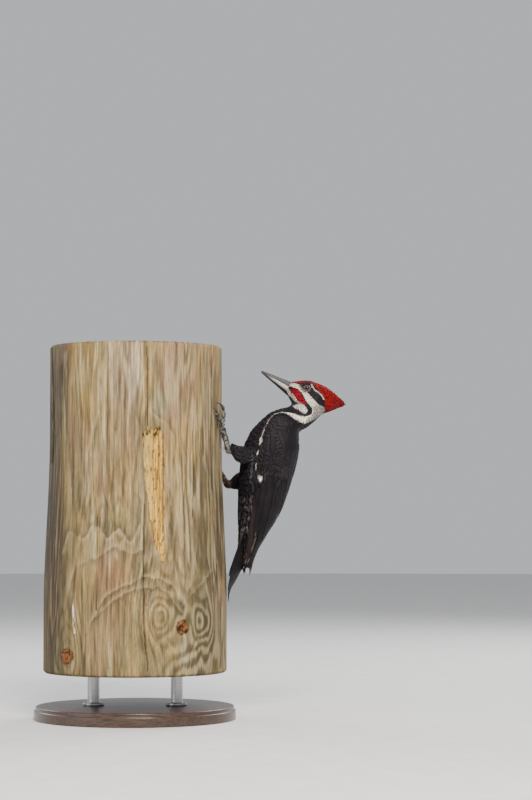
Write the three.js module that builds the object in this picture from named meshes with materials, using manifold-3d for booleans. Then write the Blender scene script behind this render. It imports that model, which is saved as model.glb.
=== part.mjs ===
// A life-size pileated woodpecker, male, clinging upright to a cut length of a
// round timber pole, which two short rods hold above a flat round base.
// Millimetres, +Z up. The pole's axis is the Z axis and the floor is Z = 0.
// The bird clings to the pole's +X side: its back is towards +X, its left side
// towards -Y, and its bill points up and back over the pole.
import * as THREE from "three";
import { mergeVertices } from "three/addons/utils/BufferGeometryUtils.js";
import Module from "manifold-3d";

const wasm = await Module();
wasm.setup();

// ---------------------------------------------------------------- sizes

const GAP = 0.3; // clearance between solids that touch
const LEFT = -1; // side of the bird, as the sign of Y
const RIGHT = 1;

const BASE = { radius: 150, height: 20, chamfer: 3 };
const ROD = { radius: 9, collarRadius: 16, collarHeight: 4, offset: 62, sides: 16 };
const POLE = {
  bottom: 70,
  top: 555,
  slimRadius: 128.5, // above slimFrom
  stoutRadius: 136.5, // below stoutTo
  slimFrom: 410,
  stoutTo: 170,
  chamfer: 3,
  steps: 5, // rings up its slow taper
  sides: 48,
};

// A cross-section of the body: its belly point and back point, both as [x, z],
// and its half-width across the bird.
const section = (belly, back, half) => ({ belly, back, half });

const HALF_SPACE = 900; // side of the box that stands for half of space

const HEAD = [
  section([222, 488], [230, 502], 6.5),
  section([229, 479], [238, 503.5], 10.5),
  section([234, 470], [250, 505], 13.8),
  section([241.5, 462], [262, 504.5], 15.8),
  section([252, 454.5], [273, 499.5], 16.2),
  section([264, 450], [280.5, 489], 14.8),
  section([274.5, 451], [283.5, 475.5], 11),
  section([280.5, 455.5], [284, 464.5], 5.5),
];

const CREST = [
  section([268, 456], [252, 500], 13.5),
  section([277, 455.5], [267, 503], 12.2),
  section([284.5, 455.5], [280.5, 498.5], 9.2),
  section([291, 458.5], [292, 491], 6),
  section([300, 462.3], [300.5, 483.5], 3.6),
  section([307.5, 465.5], [308, 476], 2),
  section([313.5, 468.2], [313.5, 470.6], 0.8),
];

const NECK = [
  section([238, 476], [279, 471], 13.5),
  section([235, 468.5], [281, 456], 15.5),
  section([226.5, 465], [268.5, 443.5], 18),
  section([214.5, 462.5], [256.5, 434], 23),
];

// The trunk without its wings, from the shoulders to the tail's root.
const TRUNK = [
  section([201, 456], [244, 428], 30),
  section([189, 446], [244.5, 418], 36),
  section([174, 430.5], [244, 401], 42),
  section([164, 411], [241, 384], 44),
  section([158, 387], [233, 367], 43.5),
  section([155, 358.5], [222, 343.5], 40),
  section([154, 328.5], [207, 318], 34),
  section([153.5, 301.5], [190.5, 294], 26),
  section([155, 276], [175.5, 271.5], 19),
  section([154, 258], [166.5, 255], 13),
  section([150.5, 243], [157.5, 241], 7),
];

// The outer form of the trunk with both wings folded over it.
const WINGED = [
  section([214.5, 461.5], [254, 437], 24),
  section([201, 456], [246, 429], 32),
  section([189, 446], [247, 418.5], 39),
  section([174, 430.5], [248, 401], 45.5),
  section([164, 411], [244, 383], 48),
  section([158, 387], [239, 365], 47.5),
  section([155, 358.5], [231, 341], 44),
  section([154, 328.5], [221.5, 315], 39),
  section([153, 301.5], [209.5, 290], 32),
  section([155, 276], [196, 268], 26),
  section([154.5, 258], [184, 251], 22),
  section([156, 238.5], [179, 235.5], 17),
  section([159, 223.5], [175.5, 221], 13.5),
  section([163, 212.5], [171, 211], 10),
];

// The folded left wing from the side, as [x, z]: down its leading edge, round
// the two tips of its primaries, and up behind the back.
const WING_OUTLINE = [
  [240, 441],
  [228, 452],
  [216, 453],
  [204, 445],
  [193.5, 431],
  [186, 415],
  [181.5, 400],
  [178.5, 381],
  [176, 358.5],
  [172.5, 334.5],
  [169, 313.5],
  [165.5, 292.5],
  [162.5, 268.5],
  [160, 247.5],
  [158.5, 229.5],
  [160.5, 214],
  [164.5, 214.5],
  [168, 234],
  [169.5, 212],
  [174, 218],
  [182, 218],
  [262, 330],
  [262, 425],
];
const WING_MIDLINE_GAP = 1; // between a folded wing and the plane of symmetry
const WING_REACH = 120; // how far the cut for a wing runs out sideways
const MANTLE = { top: 470, point: 328, halfWidth: 27, reach: 300 }; // bare back between the wings

const TAIL = {
  // The ridge over the middle feathers, and the line of the outer edges.
  ridge: [
    [183, 296],
    [178, 265.5],
    [166.5, 236],
    [154.6, 216.5],
    [148, 204],
    [141.8, 193.5],
    [138.8, 183],
    [138.4, 172],
  ],
  edge: [
    [160, 296],
    [156.5, 265.5],
    [147.6, 238.5],
    [140.6, 217.5],
    [138, 205.5],
    [137, 193.5],
    [137, 183],
    [137.4, 172],
  ],
  halfWidths: [14, 19, 24, 27, 28, 27.5, 26, 24],
  drop: 1.6, // how the sides fall from the ridge to the edges
  thickness: 2.4,
  feathersPerSide: 5,
  graduation: 0.4, // the outer feathers end this much higher
  spread: 1.5, // how that grows from the middle feather outwards
  notch: 0.035, // depth between two feather tips
  lean: 0.35, // how far the upper face leans with its slope, as a share of its lift
  roomBelow: 40, // depth kept clear of the wings on the pole's side
  steps: 8, // cells from root to tip
  cellsPerFeather: 6, // from edge to edge, counting both sides
  probe: 0.01, // the step that finds the slope of its face
};

const BILL = {
  base: [233, 493],
  tip: [188, 518.5],
  upperHeight: 9,
  lowerHeight: 12.4,
  halfWidth: 7.4,
  tipHalfWidth: 1.3,
  tipHeight: 1.7,
  taper: 0.94, // how evenly its depth falls to the tip; 1 is a straight line
  narrowing: 0.85, // the same for its width
  keel: 1.2, // how sharp its ridge is; 1 is round
  flank: 1.15, // how flat its sides are; 1 is round
  steps: 6,
  arc: 7, // points round each half
};

const EYE = { centre: [257, 492.4], offset: 10.4, radius: 5.4, segments: 14, rings: 9 };

// How each body form is drawn; a fullness of 2 makes round sections, more makes
// them squarer.
const BODY_STYLE = { sides: 24, perSpan: 1, fullness: 2.15 };
const WINGED_STYLE = { sides: 26, perSpan: 1, fullness: 2.15 };
const HEAD_STYLE = { sides: 18, perSpan: 2, fullness: 2.1 };
const CREST_STYLE = { sides: 16, perSpan: 1, fullness: 2.1 };

// The feathered thighs: centre [x, y, z], then half-height and half-width.
const THIGH_SIDES = 12;
const THIGHS = {
  left: [
    [184, -26, 389, 8, 8],
    [176, -33, 390.5, 12.5, 10.5],
    [166, -36.5, 391.5, 14, 11],
    [157, -37.5, 392.6, 13.2, 9],
    [150.5, -37.5, 395, 12.4, 7.6],
    [145, -37.5, 400.6, 9.8, 6],
    [142.4, -37.4, 402.6, 7.4, 4.8],
  ],
  right: [
    [180, 27, 359, 8, 8],
    [171, 34, 357.5, 13, 11],
    [157, 38, 355.5, 14, 10.5],
    [149.5, 40.5, 353.2, 12.4, 8.4],
    [144, 42.2, 351, 9, 6.4],
    [140, 43.4, 350, 5.8, 4.8],
  ],
};

// Feet, in the pole's own measure: each point is [degrees round from +X towards
// the bird's own side, height, distance off the pole's face].
const FEET = {
  left: {
    heel: [14.8, 398, 16.2],
    palm: [16.5, 432, 7],
    digits: {
      front: [[17, 443, 8], [17.8, 454, 10], [19.6, 463.5, 10.4], [23.4, 468.4, 6.8], [26.4, 465.4, 0.7]],
      inner: [[12.4, 441, 6.4], [9.4, 449, 5.4], [7.4, 456, 6.4], [6, 461, 0.7]],
      outer: [[19.6, 441, 5.6], [22.4, 450, 4.6], [25.2, 458, 5.2], [27.4, 461.6, 0.7]],
      rear: [[15.2, 423, 6.4], [14.2, 414, 9.2], [13.5, 406.5, 10.4], [12.8, 400.5, 6.4], [12.5, 398.6, 0.9]],
    },
  },
  right: {
    heel: [17.7, 350, 14.6],
    palm: [26.4, 376, 6],
    digits: {
      front: [[27, 387, 7], [28, 397, 7.4], [29.2, 405.5, 7.4], [30.6, 410.5, 5], [31.4, 411.5, 0.7]],
      inner: [[23.8, 386, 5.8], [22.6, 395, 5], [22, 401.5, 6], [21.6, 406, 0.7]],
      outer: [[31, 382, 5.4], [36, 388, 4.8], [39.8, 393.4, 5.8], [42.2, 396, 0.7]],
      rear: [[24.8, 367.5, 5.8], [23.6, 359.5, 7.4], [22.8, 352.5, 7.6], [22.3, 347.4, 5.4], [22, 345, 0.8]],
    },
  },
};
const LEG = {
  tarsusRadius: 3.1,
  heelSwell: 1.05, // radius at the heel, as a share of the tarsus's
  waist: 0.35, // how far it narrows halfway
  palmSwell: 0.1, // how far it widens again to the palm
  tarsusBow: 1.2, // how far it bows away from the pole
  toeRadius: 2.6,
  toeTipRadius: 2.1,
  toePads: 0.08, // how far the pads swell, as a share of the radius
  steps: 5, // rings along the tarsus, each toe and each claw
  tarsusSides: 8,
  toeSides: 6,
};
const CLAW = { rootRadius: 1.75, tipRadius: 0.35, share: 0.36, taper: 0.9 };

// ---------------------------------------------------------------- colours

const finish = (color, roughness, metalness = 0) =>
  new THREE.MeshStandardMaterial({ color, roughness, metalness });

const FINISHES = {
  black: finish(0x2c282c, 0.75),
  white: finish(0xe6e0d4, 0.85),
  red: finish(0xb90b12, 0.7),
  slate: finish(0x55555c, 0.45),
  horn: finish(0x8d8b86, 0.45),
  iris: finish(0x8a6a4a, 0.1),
  scale: finish(0x7c7c74, 0.6),
  claw: finish(0x3a3836, 0.35),
  timber: finish(0x9d8c6e, 0.9),
  base: finish(0x2a201a, 0.45),
  steel: finish(0x8c8c8c, 0.3, 0.9),
};

// ---------------------------------------------------------------- solids

/** A closed three.js geometry as a manifold-3d solid with its faces outward. */
function solidOf(geometry) {
  const bare = geometry.clone();
  bare.deleteAttribute("normal");
  bare.deleteAttribute("uv");
  const merged = mergeVertices(bare, 1e-4);
  const triVerts = new Uint32Array(merged.index.array);
  const vertProperties = merged.attributes.position.array;
  if (signedVolume(vertProperties, triVerts) < 0) {
    for (let i = 0; i < triVerts.length; i += 3) {
      [triVerts[i + 1], triVerts[i + 2]] = [triVerts[i + 2], triVerts[i + 1]];
    }
  }
  return new wasm.Manifold(new wasm.Mesh({ numProp: 3, vertProperties, triVerts }));
}

function signedVolume(positions, triangles) {
  const [a, b, c] = [new THREE.Vector3(), new THREE.Vector3(), new THREE.Vector3()];
  let sum = 0;
  for (let i = 0; i < triangles.length; i += 3) {
    a.fromArray(positions, 3 * triangles[i]);
    b.fromArray(positions, 3 * triangles[i + 1]);
    c.fromArray(positions, 3 * triangles[i + 2]);
    sum += a.dot(b.cross(c));
  }
  return sum / 6;
}

/** A manifold-3d solid as a three.js geometry. */
function geometryOf(solid) {
  const mesh = solid.getMesh();
  const positions = new Float32Array(mesh.numVert * 3);
  for (let i = 0; i < mesh.numVert; i++) {
    positions.set(mesh.vertProperties.subarray(i * mesh.numProp, i * mesh.numProp + 3), i * 3);
  }
  return new THREE.BufferGeometry()
    .setAttribute("position", new THREE.BufferAttribute(positions, 3))
    .setIndex(new THREE.BufferAttribute(mesh.triVerts, 1));
}

/** A closed skin through rings that all have the same number of points. */
function loft(rings) {
  const count = rings[0].length;
  const points = rings.flat();
  const index = [];
  for (let r = 0; r + 1 < rings.length; r++) {
    for (let i = 0; i < count; i++) {
      const j = (i + 1) % count;
      const [a, b] = [r * count + i, r * count + j];
      index.push(a, b, b + count, a, b + count, a + count);
    }
  }
  const closeWith = (ring, first, flip) => {
    const centre = points.length;
    points.push(ring.reduce((sum, p) => sum.add(p), new THREE.Vector3()).divideScalar(count));
    for (let i = 0; i < count; i++) {
      const j = (i + 1) % count;
      index.push(centre, first + (flip ? i : j), first + (flip ? j : i));
    }
  };
  closeWith(rings[0], 0, false);
  closeWith(rings.at(-1), (rings.length - 1) * count, true);
  return new THREE.BufferGeometry().setFromPoints(points).setIndex(index);
}

/** Points on a smooth curve that passes through each control point. */
const smooth = (points, perSpan) =>
  new THREE.CatmullRomCurve3(points, false, "centripetal").getPoints(
    (points.length - 1) * perSpan,
  );

/** A value raised to a power, with its sign kept. */
const bent = (value, power) => Math.sign(value) * Math.abs(value) ** power;

/** A body form through its sections, grown outwards by `grow`. */
function bodyForm(sections, { sides, perSpan, fullness, grow = 0 }) {
  const line = (key) =>
    smooth(sections.map((s) => new THREE.Vector3(s[key][0], s.half, s[key][1])), perSpan);
  const [bellies, backs] = [line("belly"), line("back")];
  const across = new THREE.Vector3(0, 1, 0);
  const rings = bellies.map((belly, i) => {
    const half = (belly.y + backs[i].y) / 2 + grow;
    const low = belly.clone().setY(0);
    const high = backs[i].clone().setY(0);
    const centre = low.clone().add(high).multiplyScalar(0.5);
    const up = high.sub(centre);
    up.setLength(up.length() + grow);
    return Array.from({ length: sides }, (_, k) => {
      const angle = (2 * Math.PI * k) / sides;
      return centre
        .clone()
        .addScaledVector(up, bent(Math.cos(angle), 2 / fullness))
        .addScaledVector(across, half * bent(Math.sin(angle), 2 / fullness));
    });
  });
  return solidOf(loft(rings));
}

/** A tube of changing radius along a curve: radiusAt takes 0 to 1. */
function taperedTube(curve, from, to, steps, sides, radiusAt) {
  const rings = [];
  let normal = null;
  for (let i = 0; i <= steps; i++) {
    const u = from + ((to - from) * i) / steps;
    const tangent = curve.getTangentAt(u);
    normal ??= new THREE.Vector3(0, 1, 0).cross(tangent).normalize();
    normal.addScaledVector(tangent, -normal.dot(tangent)).normalize();
    const side = tangent.clone().cross(normal);
    const radius = radiusAt(i / steps);
    const centre = curve.getPointAt(u);
    rings.push(
      Array.from({ length: sides }, (_, k) => {
        const angle = (2 * Math.PI * k) / sides;
        return centre
          .clone()
          .addScaledVector(normal, radius * Math.cos(angle))
          .addScaledVector(side, radius * Math.sin(angle));
      }),
    );
  }
  return solidOf(loft(rings));
}

/** A solid of revolution about Z from its [radius, height] profile. */
function turned(profile, sides) {
  const points = profile.map(([r, z]) => new THREE.Vector2(r, z));
  return solidOf(new THREE.LatheGeometry(points, sides).rotateX(Math.PI / 2));
}

/** A flat outline of [x, z] points, thick from y = 0 to the given side. */
function sidePrism(outline, reach, side) {
  const shape = new THREE.Shape(outline.map(([x, z]) => new THREE.Vector2(x, z)));
  const prism = new THREE.ExtrudeGeometry(shape, { depth: reach, bevelEnabled: false, steps: 1 });
  prism.rotateX(Math.PI / 2); // depth now runs towards -Y
  if (side === RIGHT) prism.scale(1, -1, 1);
  return prism;
}

/** The half of space beyond a plane, as a very large box. */
function beyond(point, normal, offset) {
  const size = HALF_SPACE;
  const box = new THREE.BoxGeometry(size, size, size).translate(0, 0, size / 2 + offset);
  const turn = new THREE.Quaternion().setFromUnitVectors(
    new THREE.Vector3(0, 0, 1),
    normal.clone().normalize(),
  );
  return solidOf(box.applyQuaternion(turn).translate(point.x, point.y, point.z));
}

/** The pole's radius at a height. */
function poleRadius(z) {
  const t = THREE.MathUtils.smoothstep(POLE.slimFrom - z, 0, POLE.slimFrom - POLE.stoutTo);
  return THREE.MathUtils.lerp(POLE.slimRadius, POLE.stoutRadius, t);
}

/** A point off the pole's face, from degrees round, height and distance. */
function offPole([degrees, z, off], side) {
  const angle = THREE.MathUtils.degToRad(degrees);
  const radius = poleRadius(z) + off;
  return new THREE.Vector3(radius * Math.cos(angle), side * radius * Math.sin(angle), z);
}

// ---------------------------------------------------------------- the part

const group = new THREE.Group();

function place(name, solid, material) {
  const mesh = new THREE.Mesh(geometryOf(solid), material);
  mesh.name = name;
  group.add(mesh);
}

/** The base, its two rods and the pole that they hold. */
function placeStandAndPole() {
  const { radius, height, chamfer } = BASE;
  const base = [[0, 0], [radius, 0], [radius, height - chamfer], [radius - chamfer, height], [0, height]];
  place("stand_base", turned(base, POLE.sides), FINISHES.base);

  const [foot, head] = [BASE.height + GAP, POLE.bottom - GAP];
  const { collarRadius, collarHeight } = ROD;
  const rod = [
    [0, foot],
    [collarRadius, foot],
    [collarRadius, foot + collarHeight],
    [ROD.radius, foot + collarHeight],
    [ROD.radius, head - collarHeight],
    [collarRadius, head - collarHeight],
    [collarRadius, head],
    [0, head],
  ];
  [-1, 1].forEach((end, i) => {
    const solid = turned(rod, ROD.sides).translate([end * ROD.offset, 0, 0]);
    place(`stand_rod_${i + 1}`, solid, FINISHES.steel);
  });

  const [low, high] = [POLE.bottom + POLE.chamfer, POLE.top - POLE.chamfer];
  const face = Array.from({ length: POLE.steps + 1 }, (_, i) => {
    const z = THREE.MathUtils.lerp(low, high, i / POLE.steps);
    return [poleRadius(z), z];
  });
  const pole = [
    [0, POLE.bottom],
    [poleRadius(low) - POLE.chamfer, POLE.bottom],
    ...face,
    [poleRadius(high) - POLE.chamfer, POLE.top],
    [0, POLE.top],
  ];
  place("perch_pole", turned(pole, POLE.sides), FINISHES.timber);
}

/** The tail's feathers as one arched, stepped fan; `depth` fills it below. */
function tailForm({ grow = 0, depth = 0 }) {
  const { steps, probe } = TAIL;
  const across = TAIL.cellsPerFeather * TAIL.feathersPerSide; // cells from edge to edge
  const at = (line) => smooth(line.map(([x, z]) => new THREE.Vector3(x, 0, z)), 6);
  const [ridge, edge] = [at(TAIL.ridge), at(TAIL.edge)];
  const widths = smooth(TAIL.halfWidths.map((w, i) => new THREE.Vector3(w, i, 0)), 6);
  const look = (line, s) => {
    const i = Math.min(s * (line.length - 1), line.length - 1.001);
    return line[Math.floor(i)].clone().lerp(line[Math.floor(i) + 1], i % 1);
  };
  const surface = (s, t) => {
    const reach = Math.abs(t);
    const within = (reach * TAIL.feathersPerSide) % 1; // how far over its own feather
    const notch = TAIL.notch * (1 - Math.sin(Math.PI * within));
    const end = 1 - TAIL.graduation * reach ** TAIL.spread - notch;
    const p = look(ridge, s * end).lerp(look(edge, s * end), reach ** TAIL.drop);
    p.y = look(widths, s * end).x * t;
    return p;
  };
  const half = TAIL.thickness / 2 + grow;
  const grid = (lift) => {
    const rows = [];
    for (let i = 0; i <= steps; i++) {
      for (let j = 0; j <= across; j++) {
        const [s, t] = [i / steps, (2 * j) / across - 1];
        rows.push(surface(s, t).add(lift(s, t)));
      }
    }
    return rows;
  };
  const normal = (s, t) => {
    const along = surface(Math.min(s + probe, 1), t).sub(surface(Math.max(s - probe, 0), t));
    const side = surface(s, Math.min(t + probe, 1)).sub(surface(s, Math.max(t - probe, -1)));
    const n = side.cross(along).normalize();
    return n.x < 0 ? n.negate() : n;
  };
  const lean = (s, t) => TAIL.lean * half * Math.sign(normal(s, t).z);
  const upper = grid((s, t) => new THREE.Vector3(half, 0, lean(s, t)));
  const lower = grid(() => new THREE.Vector3(-half - depth, 0, 0));
  const columns = across + 1;
  const total = upper.length;
  const index = [];
  const quad = (a, b, c, d) => index.push(a, b, c, a, c, d);
  for (let i = 0; i < steps; i++) {
    for (let j = 0; j < across; j++) {
      const a = i * columns + j;
      quad(a, a + 1, a + columns + 1, a + columns);
      quad(total + a, total + a + columns, total + a + columns + 1, total + a + 1);
    }
  }
  const rim = [];
  for (let j = 0; j < across; j++) rim.push(j);
  for (let i = 0; i < steps; i++) rim.push(i * columns + across);
  for (let j = across; j > 0; j--) rim.push(steps * columns + j);
  for (let i = steps; i > 0; i--) rim.push(i * columns);
  rim.forEach((a, k) => {
    const b = rim[(k + 1) % rim.length];
    quad(a, total + a, total + b, b);
  });
  return solidOf(new THREE.BufferGeometry().setFromPoints([...upper, ...lower]).setIndex(index));
}

/** Half of the bill: `height` is its depth at the base, up for sign 1. */
function mandible(height, sign) {
  const base = new THREE.Vector3(BILL.base[0], 0, BILL.base[1]);
  const tip = new THREE.Vector3(BILL.tip[0], 0, BILL.tip[1]);
  const along = tip.clone().sub(base);
  const up = new THREE.Vector3(along.z, 0, -along.x).normalize().multiplyScalar(sign);
  const { steps, arc } = BILL;
  const rings = [];
  for (let i = 0; i <= steps; i++) {
    const s = i / steps;
    const centre = base.clone().addScaledVector(along, s).addScaledVector(up, GAP / 2);
    const h = THREE.MathUtils.lerp(height, BILL.tipHeight, s ** BILL.taper);
    const w = THREE.MathUtils.lerp(BILL.halfWidth, BILL.tipHalfWidth, s ** BILL.narrowing);
    rings.push(
      Array.from({ length: arc }, (_, k) => {
        const angle = (Math.PI * k) / (arc - 1);
        const aside = w * bent(Math.cos(angle), BILL.flank);
        return centre
          .clone()
          .add(new THREE.Vector3(0, aside, 0))
          .addScaledVector(up, h * Math.sin(angle) ** BILL.keel);
      }),
    );
  }
  return solidOf(loft(rings));
}

/** The thigh, from the flank to the heel. */
function thighForm(stations, grow) {
  const centres = smooth(stations.map(([x, y, z]) => new THREE.Vector3(x, y, z)), 2);
  const halves = smooth(stations.map(([, , , tall, wide]) => new THREE.Vector3(tall, wide, 0)), 2);
  const rings = centres.map((centre, i) => {
    const next = centres[Math.min(i + 1, centres.length - 1)];
    const last = centres[Math.max(i - 1, 0)];
    const along = next.clone().sub(last).normalize();
    const up = new THREE.Vector3(0, 0, 1);
    const side = along.cross(up).normalize();
    return Array.from({ length: THIGH_SIDES }, (_, k) => {
      const angle = (2 * Math.PI * k) / THIGH_SIDES;
      return centre
        .clone()
        .addScaledVector(up, (halves[i].x + grow) * Math.cos(angle))
        .addScaledVector(side, (halves[i].y + grow) * Math.sin(angle));
    });
  });
  return solidOf(loft(rings));
}

/** One leg below the feathers, with its four toes and their claws. */
function placeFoot(name, foot, side, thigh) {
  const heel = offPole(foot.heel, side);
  const palm = offPole(foot.palm, side);
  const shank = new THREE.CatmullRomCurve3([
    heel,
    heel.clone().lerp(palm, 0.5).add(new THREE.Vector3(LEG.tarsusBow, 0, 0)),
    palm,
  ]);
  const { lerp } = THREE.MathUtils;
  const shankRadius = (u) =>
    LEG.tarsusRadius * (LEG.heelSwell - LEG.waist * Math.sin(Math.PI * u) + LEG.palmSwell * u);
  const toeRadius = (u) =>
    lerp(LEG.toeRadius, LEG.toeTipRadius, u) * (1 + LEG.toePads * Math.sin(3 * Math.PI * u));
  const clawRadius = (u) => lerp(CLAW.rootRadius, CLAW.tipRadius, u ** CLAW.taper);
  let legSolid = taperedTube(shank, 0, 1, LEG.steps, LEG.tarsusSides, shankRadius);
  for (const [digit, points] of Object.entries(foot.digits)) {
    const path = [palm, ...points.map((p) => offPole(p, side))];
    const curve = new THREE.CatmullRomCurve3(path, false, "centripetal");
    const split = 1 - CLAW.share;
    legSolid = legSolid.add(taperedTube(curve, 0, split, LEG.steps, LEG.toeSides, toeRadius));
    const clawFrom = split + GAP / curve.getLength();
    const claw = taperedTube(curve, clawFrom, 1, LEG.steps, LEG.toeSides, clawRadius);
    place(`claw_${name}_${digit}`, claw, FINISHES.claw);
  }
  place(`foot_${name}`, legSolid.subtract(thigh), FINISHES.scale);
}

function placeBird() {
  const eye = (side, grow) =>
    solidOf(
      new THREE.SphereGeometry(EYE.radius + grow, EYE.segments, EYE.rings)
        .rotateX(Math.PI / 2)
        .translate(EYE.centre[0], side * EYE.offset, EYE.centre[1]),
    );

  // Head, with the eyes in their sockets, then what the head cuts back.
  const [headForm, headRoom] = [0, GAP].map((grow) => bodyForm(HEAD, { ...HEAD_STYLE, grow }));
  const sockets = eye(LEFT, GAP).add(eye(RIGHT, GAP));
  place("head", headForm.subtract(sockets), FINISHES.white);
  place("eye_left", eye(LEFT, 0), FINISHES.iris);
  place("eye_right", eye(RIGHT, 0), FINISHES.iris);
  place("crest", bodyForm(CREST, CREST_STYLE).subtract(headRoom), FINISHES.red);
  place("bill_upper", mandible(BILL.upperHeight, 1).subtract(headRoom), FINISHES.slate);
  place("bill_lower", mandible(BILL.lowerHeight, -1).subtract(headRoom), FINISHES.horn);

  // Neck and trunk are one form, parted by a thin cut across the shoulders.
  const crestRoom = bodyForm(CREST, { ...CREST_STYLE, grow: GAP });
  const whole = bodyForm([...NECK, ...TRUNK], BODY_STYLE);
  const [low, high] = [NECK.at(-1), TRUNK[0]].map(({ belly, back }) =>
    new THREE.Vector3(belly[0] + back[0], 0, belly[1] + back[1]).multiplyScalar(0.5),
  );
  const shoulders = low.clone().lerp(high, 0.5);
  const upward = low.clone().sub(high);
  const aboveCut = beyond(shoulders, upward, GAP / 2);
  const belowCut = beyond(shoulders, upward.clone().negate(), GAP / 2);
  place("neck", whole.intersect(aboveCut).subtract(headRoom).subtract(crestRoom), FINISHES.black);
  const trunk = whole.intersect(belowCut);
  place("trunk", trunk, FINISHES.black);
  const neckRoom = bodyForm([...NECK, ...TRUNK], { ...BODY_STYLE, grow: GAP });

  // Thighs and feet.
  const tail = tailForm({});
  for (const [name, side] of [["left", LEFT], ["right", RIGHT]]) {
    place(`thigh_${name}`, thighForm(THIGHS[name], 0).subtract(neckRoom), FINISHES.black);
    placeFoot(name, FEET[name], side, thighForm(THIGHS[name], GAP));
  }
  place("tail", tail.subtract(neckRoom), FINISHES.black);

  // Wings: the outer form within the wing's outline, less all that it covers.
  const winged = bodyForm(WINGED, WINGED_STYLE);
  const mantle = new THREE.Shape([
    new THREE.Vector2(-MANTLE.halfWidth, MANTLE.top),
    new THREE.Vector2(0, MANTLE.point),
    new THREE.Vector2(MANTLE.halfWidth, MANTLE.top),
  ]);
  const mantleRoom = solidOf(
    new THREE.ExtrudeGeometry(mantle, { depth: MANTLE.reach, bevelEnabled: false, steps: 1 }).applyMatrix4(
      new THREE.Matrix4().makeBasis(
        new THREE.Vector3(0, 1, 0),
        new THREE.Vector3(0, 0, 1),
        new THREE.Vector3(1, 0, 0),
      ),
    ),
  );
  const tailRoom = tailForm({ grow: GAP, depth: TAIL.roomBelow });
  for (const [name, side] of [["left", LEFT], ["right", RIGHT]]) {
    const cut = sidePrism(WING_OUTLINE, WING_REACH, side).translate(0, side * WING_MIDLINE_GAP, 0);
    const wing = winged
      .intersect(solidOf(cut))
      .subtract(neckRoom)
      .subtract(mantleRoom)
      .subtract(tailRoom)
      .subtract(thighForm(THIGHS[name], GAP));
    const pieces = wing.decompose().sort((a, b) => b.volume() - a.volume());
    place(`wing_${name}`, pieces[0], FINISHES.black);
  }
}

placeStandAndPole();
placeBird();

export default group;
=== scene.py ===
"""A life-size pileated woodpecker on a cut length of timber pole, above a plain display stand.

Measures in the tables are millimetres. The pole's axis is Z, the floor is Z = 0, the bird clings
to the pole's +X side and its left side is towards -Y.
"""

import functools
import itertools
import logging
import math
from dataclasses import astuple, dataclass
from enum import Enum
from typing import Callable, Iterable, Sequence

import bmesh
import bpy
import numpy as np
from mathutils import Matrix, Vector
from mathutils.bvhtree import BVHTree


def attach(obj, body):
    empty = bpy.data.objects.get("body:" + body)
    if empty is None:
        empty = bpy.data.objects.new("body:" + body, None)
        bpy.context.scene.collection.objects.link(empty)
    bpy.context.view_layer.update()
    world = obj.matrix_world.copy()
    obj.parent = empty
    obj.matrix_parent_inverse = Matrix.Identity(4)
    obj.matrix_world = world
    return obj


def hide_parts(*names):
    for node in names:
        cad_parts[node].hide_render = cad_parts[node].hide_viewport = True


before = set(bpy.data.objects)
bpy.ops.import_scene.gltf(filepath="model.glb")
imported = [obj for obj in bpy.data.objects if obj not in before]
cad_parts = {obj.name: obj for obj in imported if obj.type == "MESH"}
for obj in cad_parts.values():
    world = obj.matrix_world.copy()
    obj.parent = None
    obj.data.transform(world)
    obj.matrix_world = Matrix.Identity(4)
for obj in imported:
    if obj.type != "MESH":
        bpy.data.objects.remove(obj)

Piece = bpy.types.Object
Mesh = bpy.types.Mesh
Socket = bpy.types.NodeSocket

MM = 0.001
TINY = 1e-9  # keeps a division away from nothing
EYE = (257.0, 492.4)  # where both eyes are, in x and z
LOG = logging.getLogger("woodpecker")


class Side(Enum):
    """A side of the bird, as the sign of Y."""

    LEFT = -1
    RIGHT = 1

    @property
    def word(self) -> str:
        """The side's name as the solids' names end."""
        return self.name.lower()


@dataclass(frozen=True)
class Tone:
    """A colour as a painter notes it, from 0 to 255 for each of red, green and blue."""

    red: float
    green: float
    blue: float

    @property
    def linear(self) -> np.ndarray:
        """The colour in scene light."""
        c = np.array(astuple(self)) / 255
        return np.where(c <= 0.04045, c / 12.92, ((c + 0.055) / 1.055) ** 2.4)

    @property
    def rgba(self) -> tuple[float, ...]:
        """The colour in scene light, as a socket takes it."""
        return (*map(float, self.linear), 1.0)


# ------------------------------------------------------------------ measures and curves


def smoothstep(low: float, high: float, value: np.ndarray) -> np.ndarray:
    """Rises smoothly from 0 at low to 1 at high.

    Args:
        low: Where the rise starts.
        high: Where it ends; it may be less than low.
        value: The values to read.

    Returns:
        An array like value, from 0 to 1.
    """
    t = np.clip((np.asarray(value, float) - low) / (high - low), 0, 1)
    return t * t * (3 - 2 * t)


def blend(colours: np.ndarray, tone: np.ndarray, share: np.ndarray) -> np.ndarray:
    """Colours moved towards a tone.

    Args:
        colours: Rows of red, green and blue.
        tone: One such row, or a row for each.
        share: How far each row goes, from 0 to 1.

    Returns:
        The mixed rows.
    """
    share = np.asarray(share)[:, None]
    return colours * (1 - share) + tone * share


def opaque(colours: np.ndarray) -> np.ndarray:
    """Rows of red, green and blue, each with a 1 after it."""
    return np.hstack([colours, np.ones((len(colours), 1))])


def unit(vectors: np.ndarray) -> np.ndarray:
    """Vectors along the last axis, made one long."""
    return vectors / np.maximum(np.linalg.norm(vectors, axis=-1, keepdims=True), TINY)


def turns(count: int) -> np.ndarray:
    """Angles in radians, spaced evenly round a full turn."""
    return np.linspace(0, 2 * np.pi, count, endpoint=False)


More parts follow.
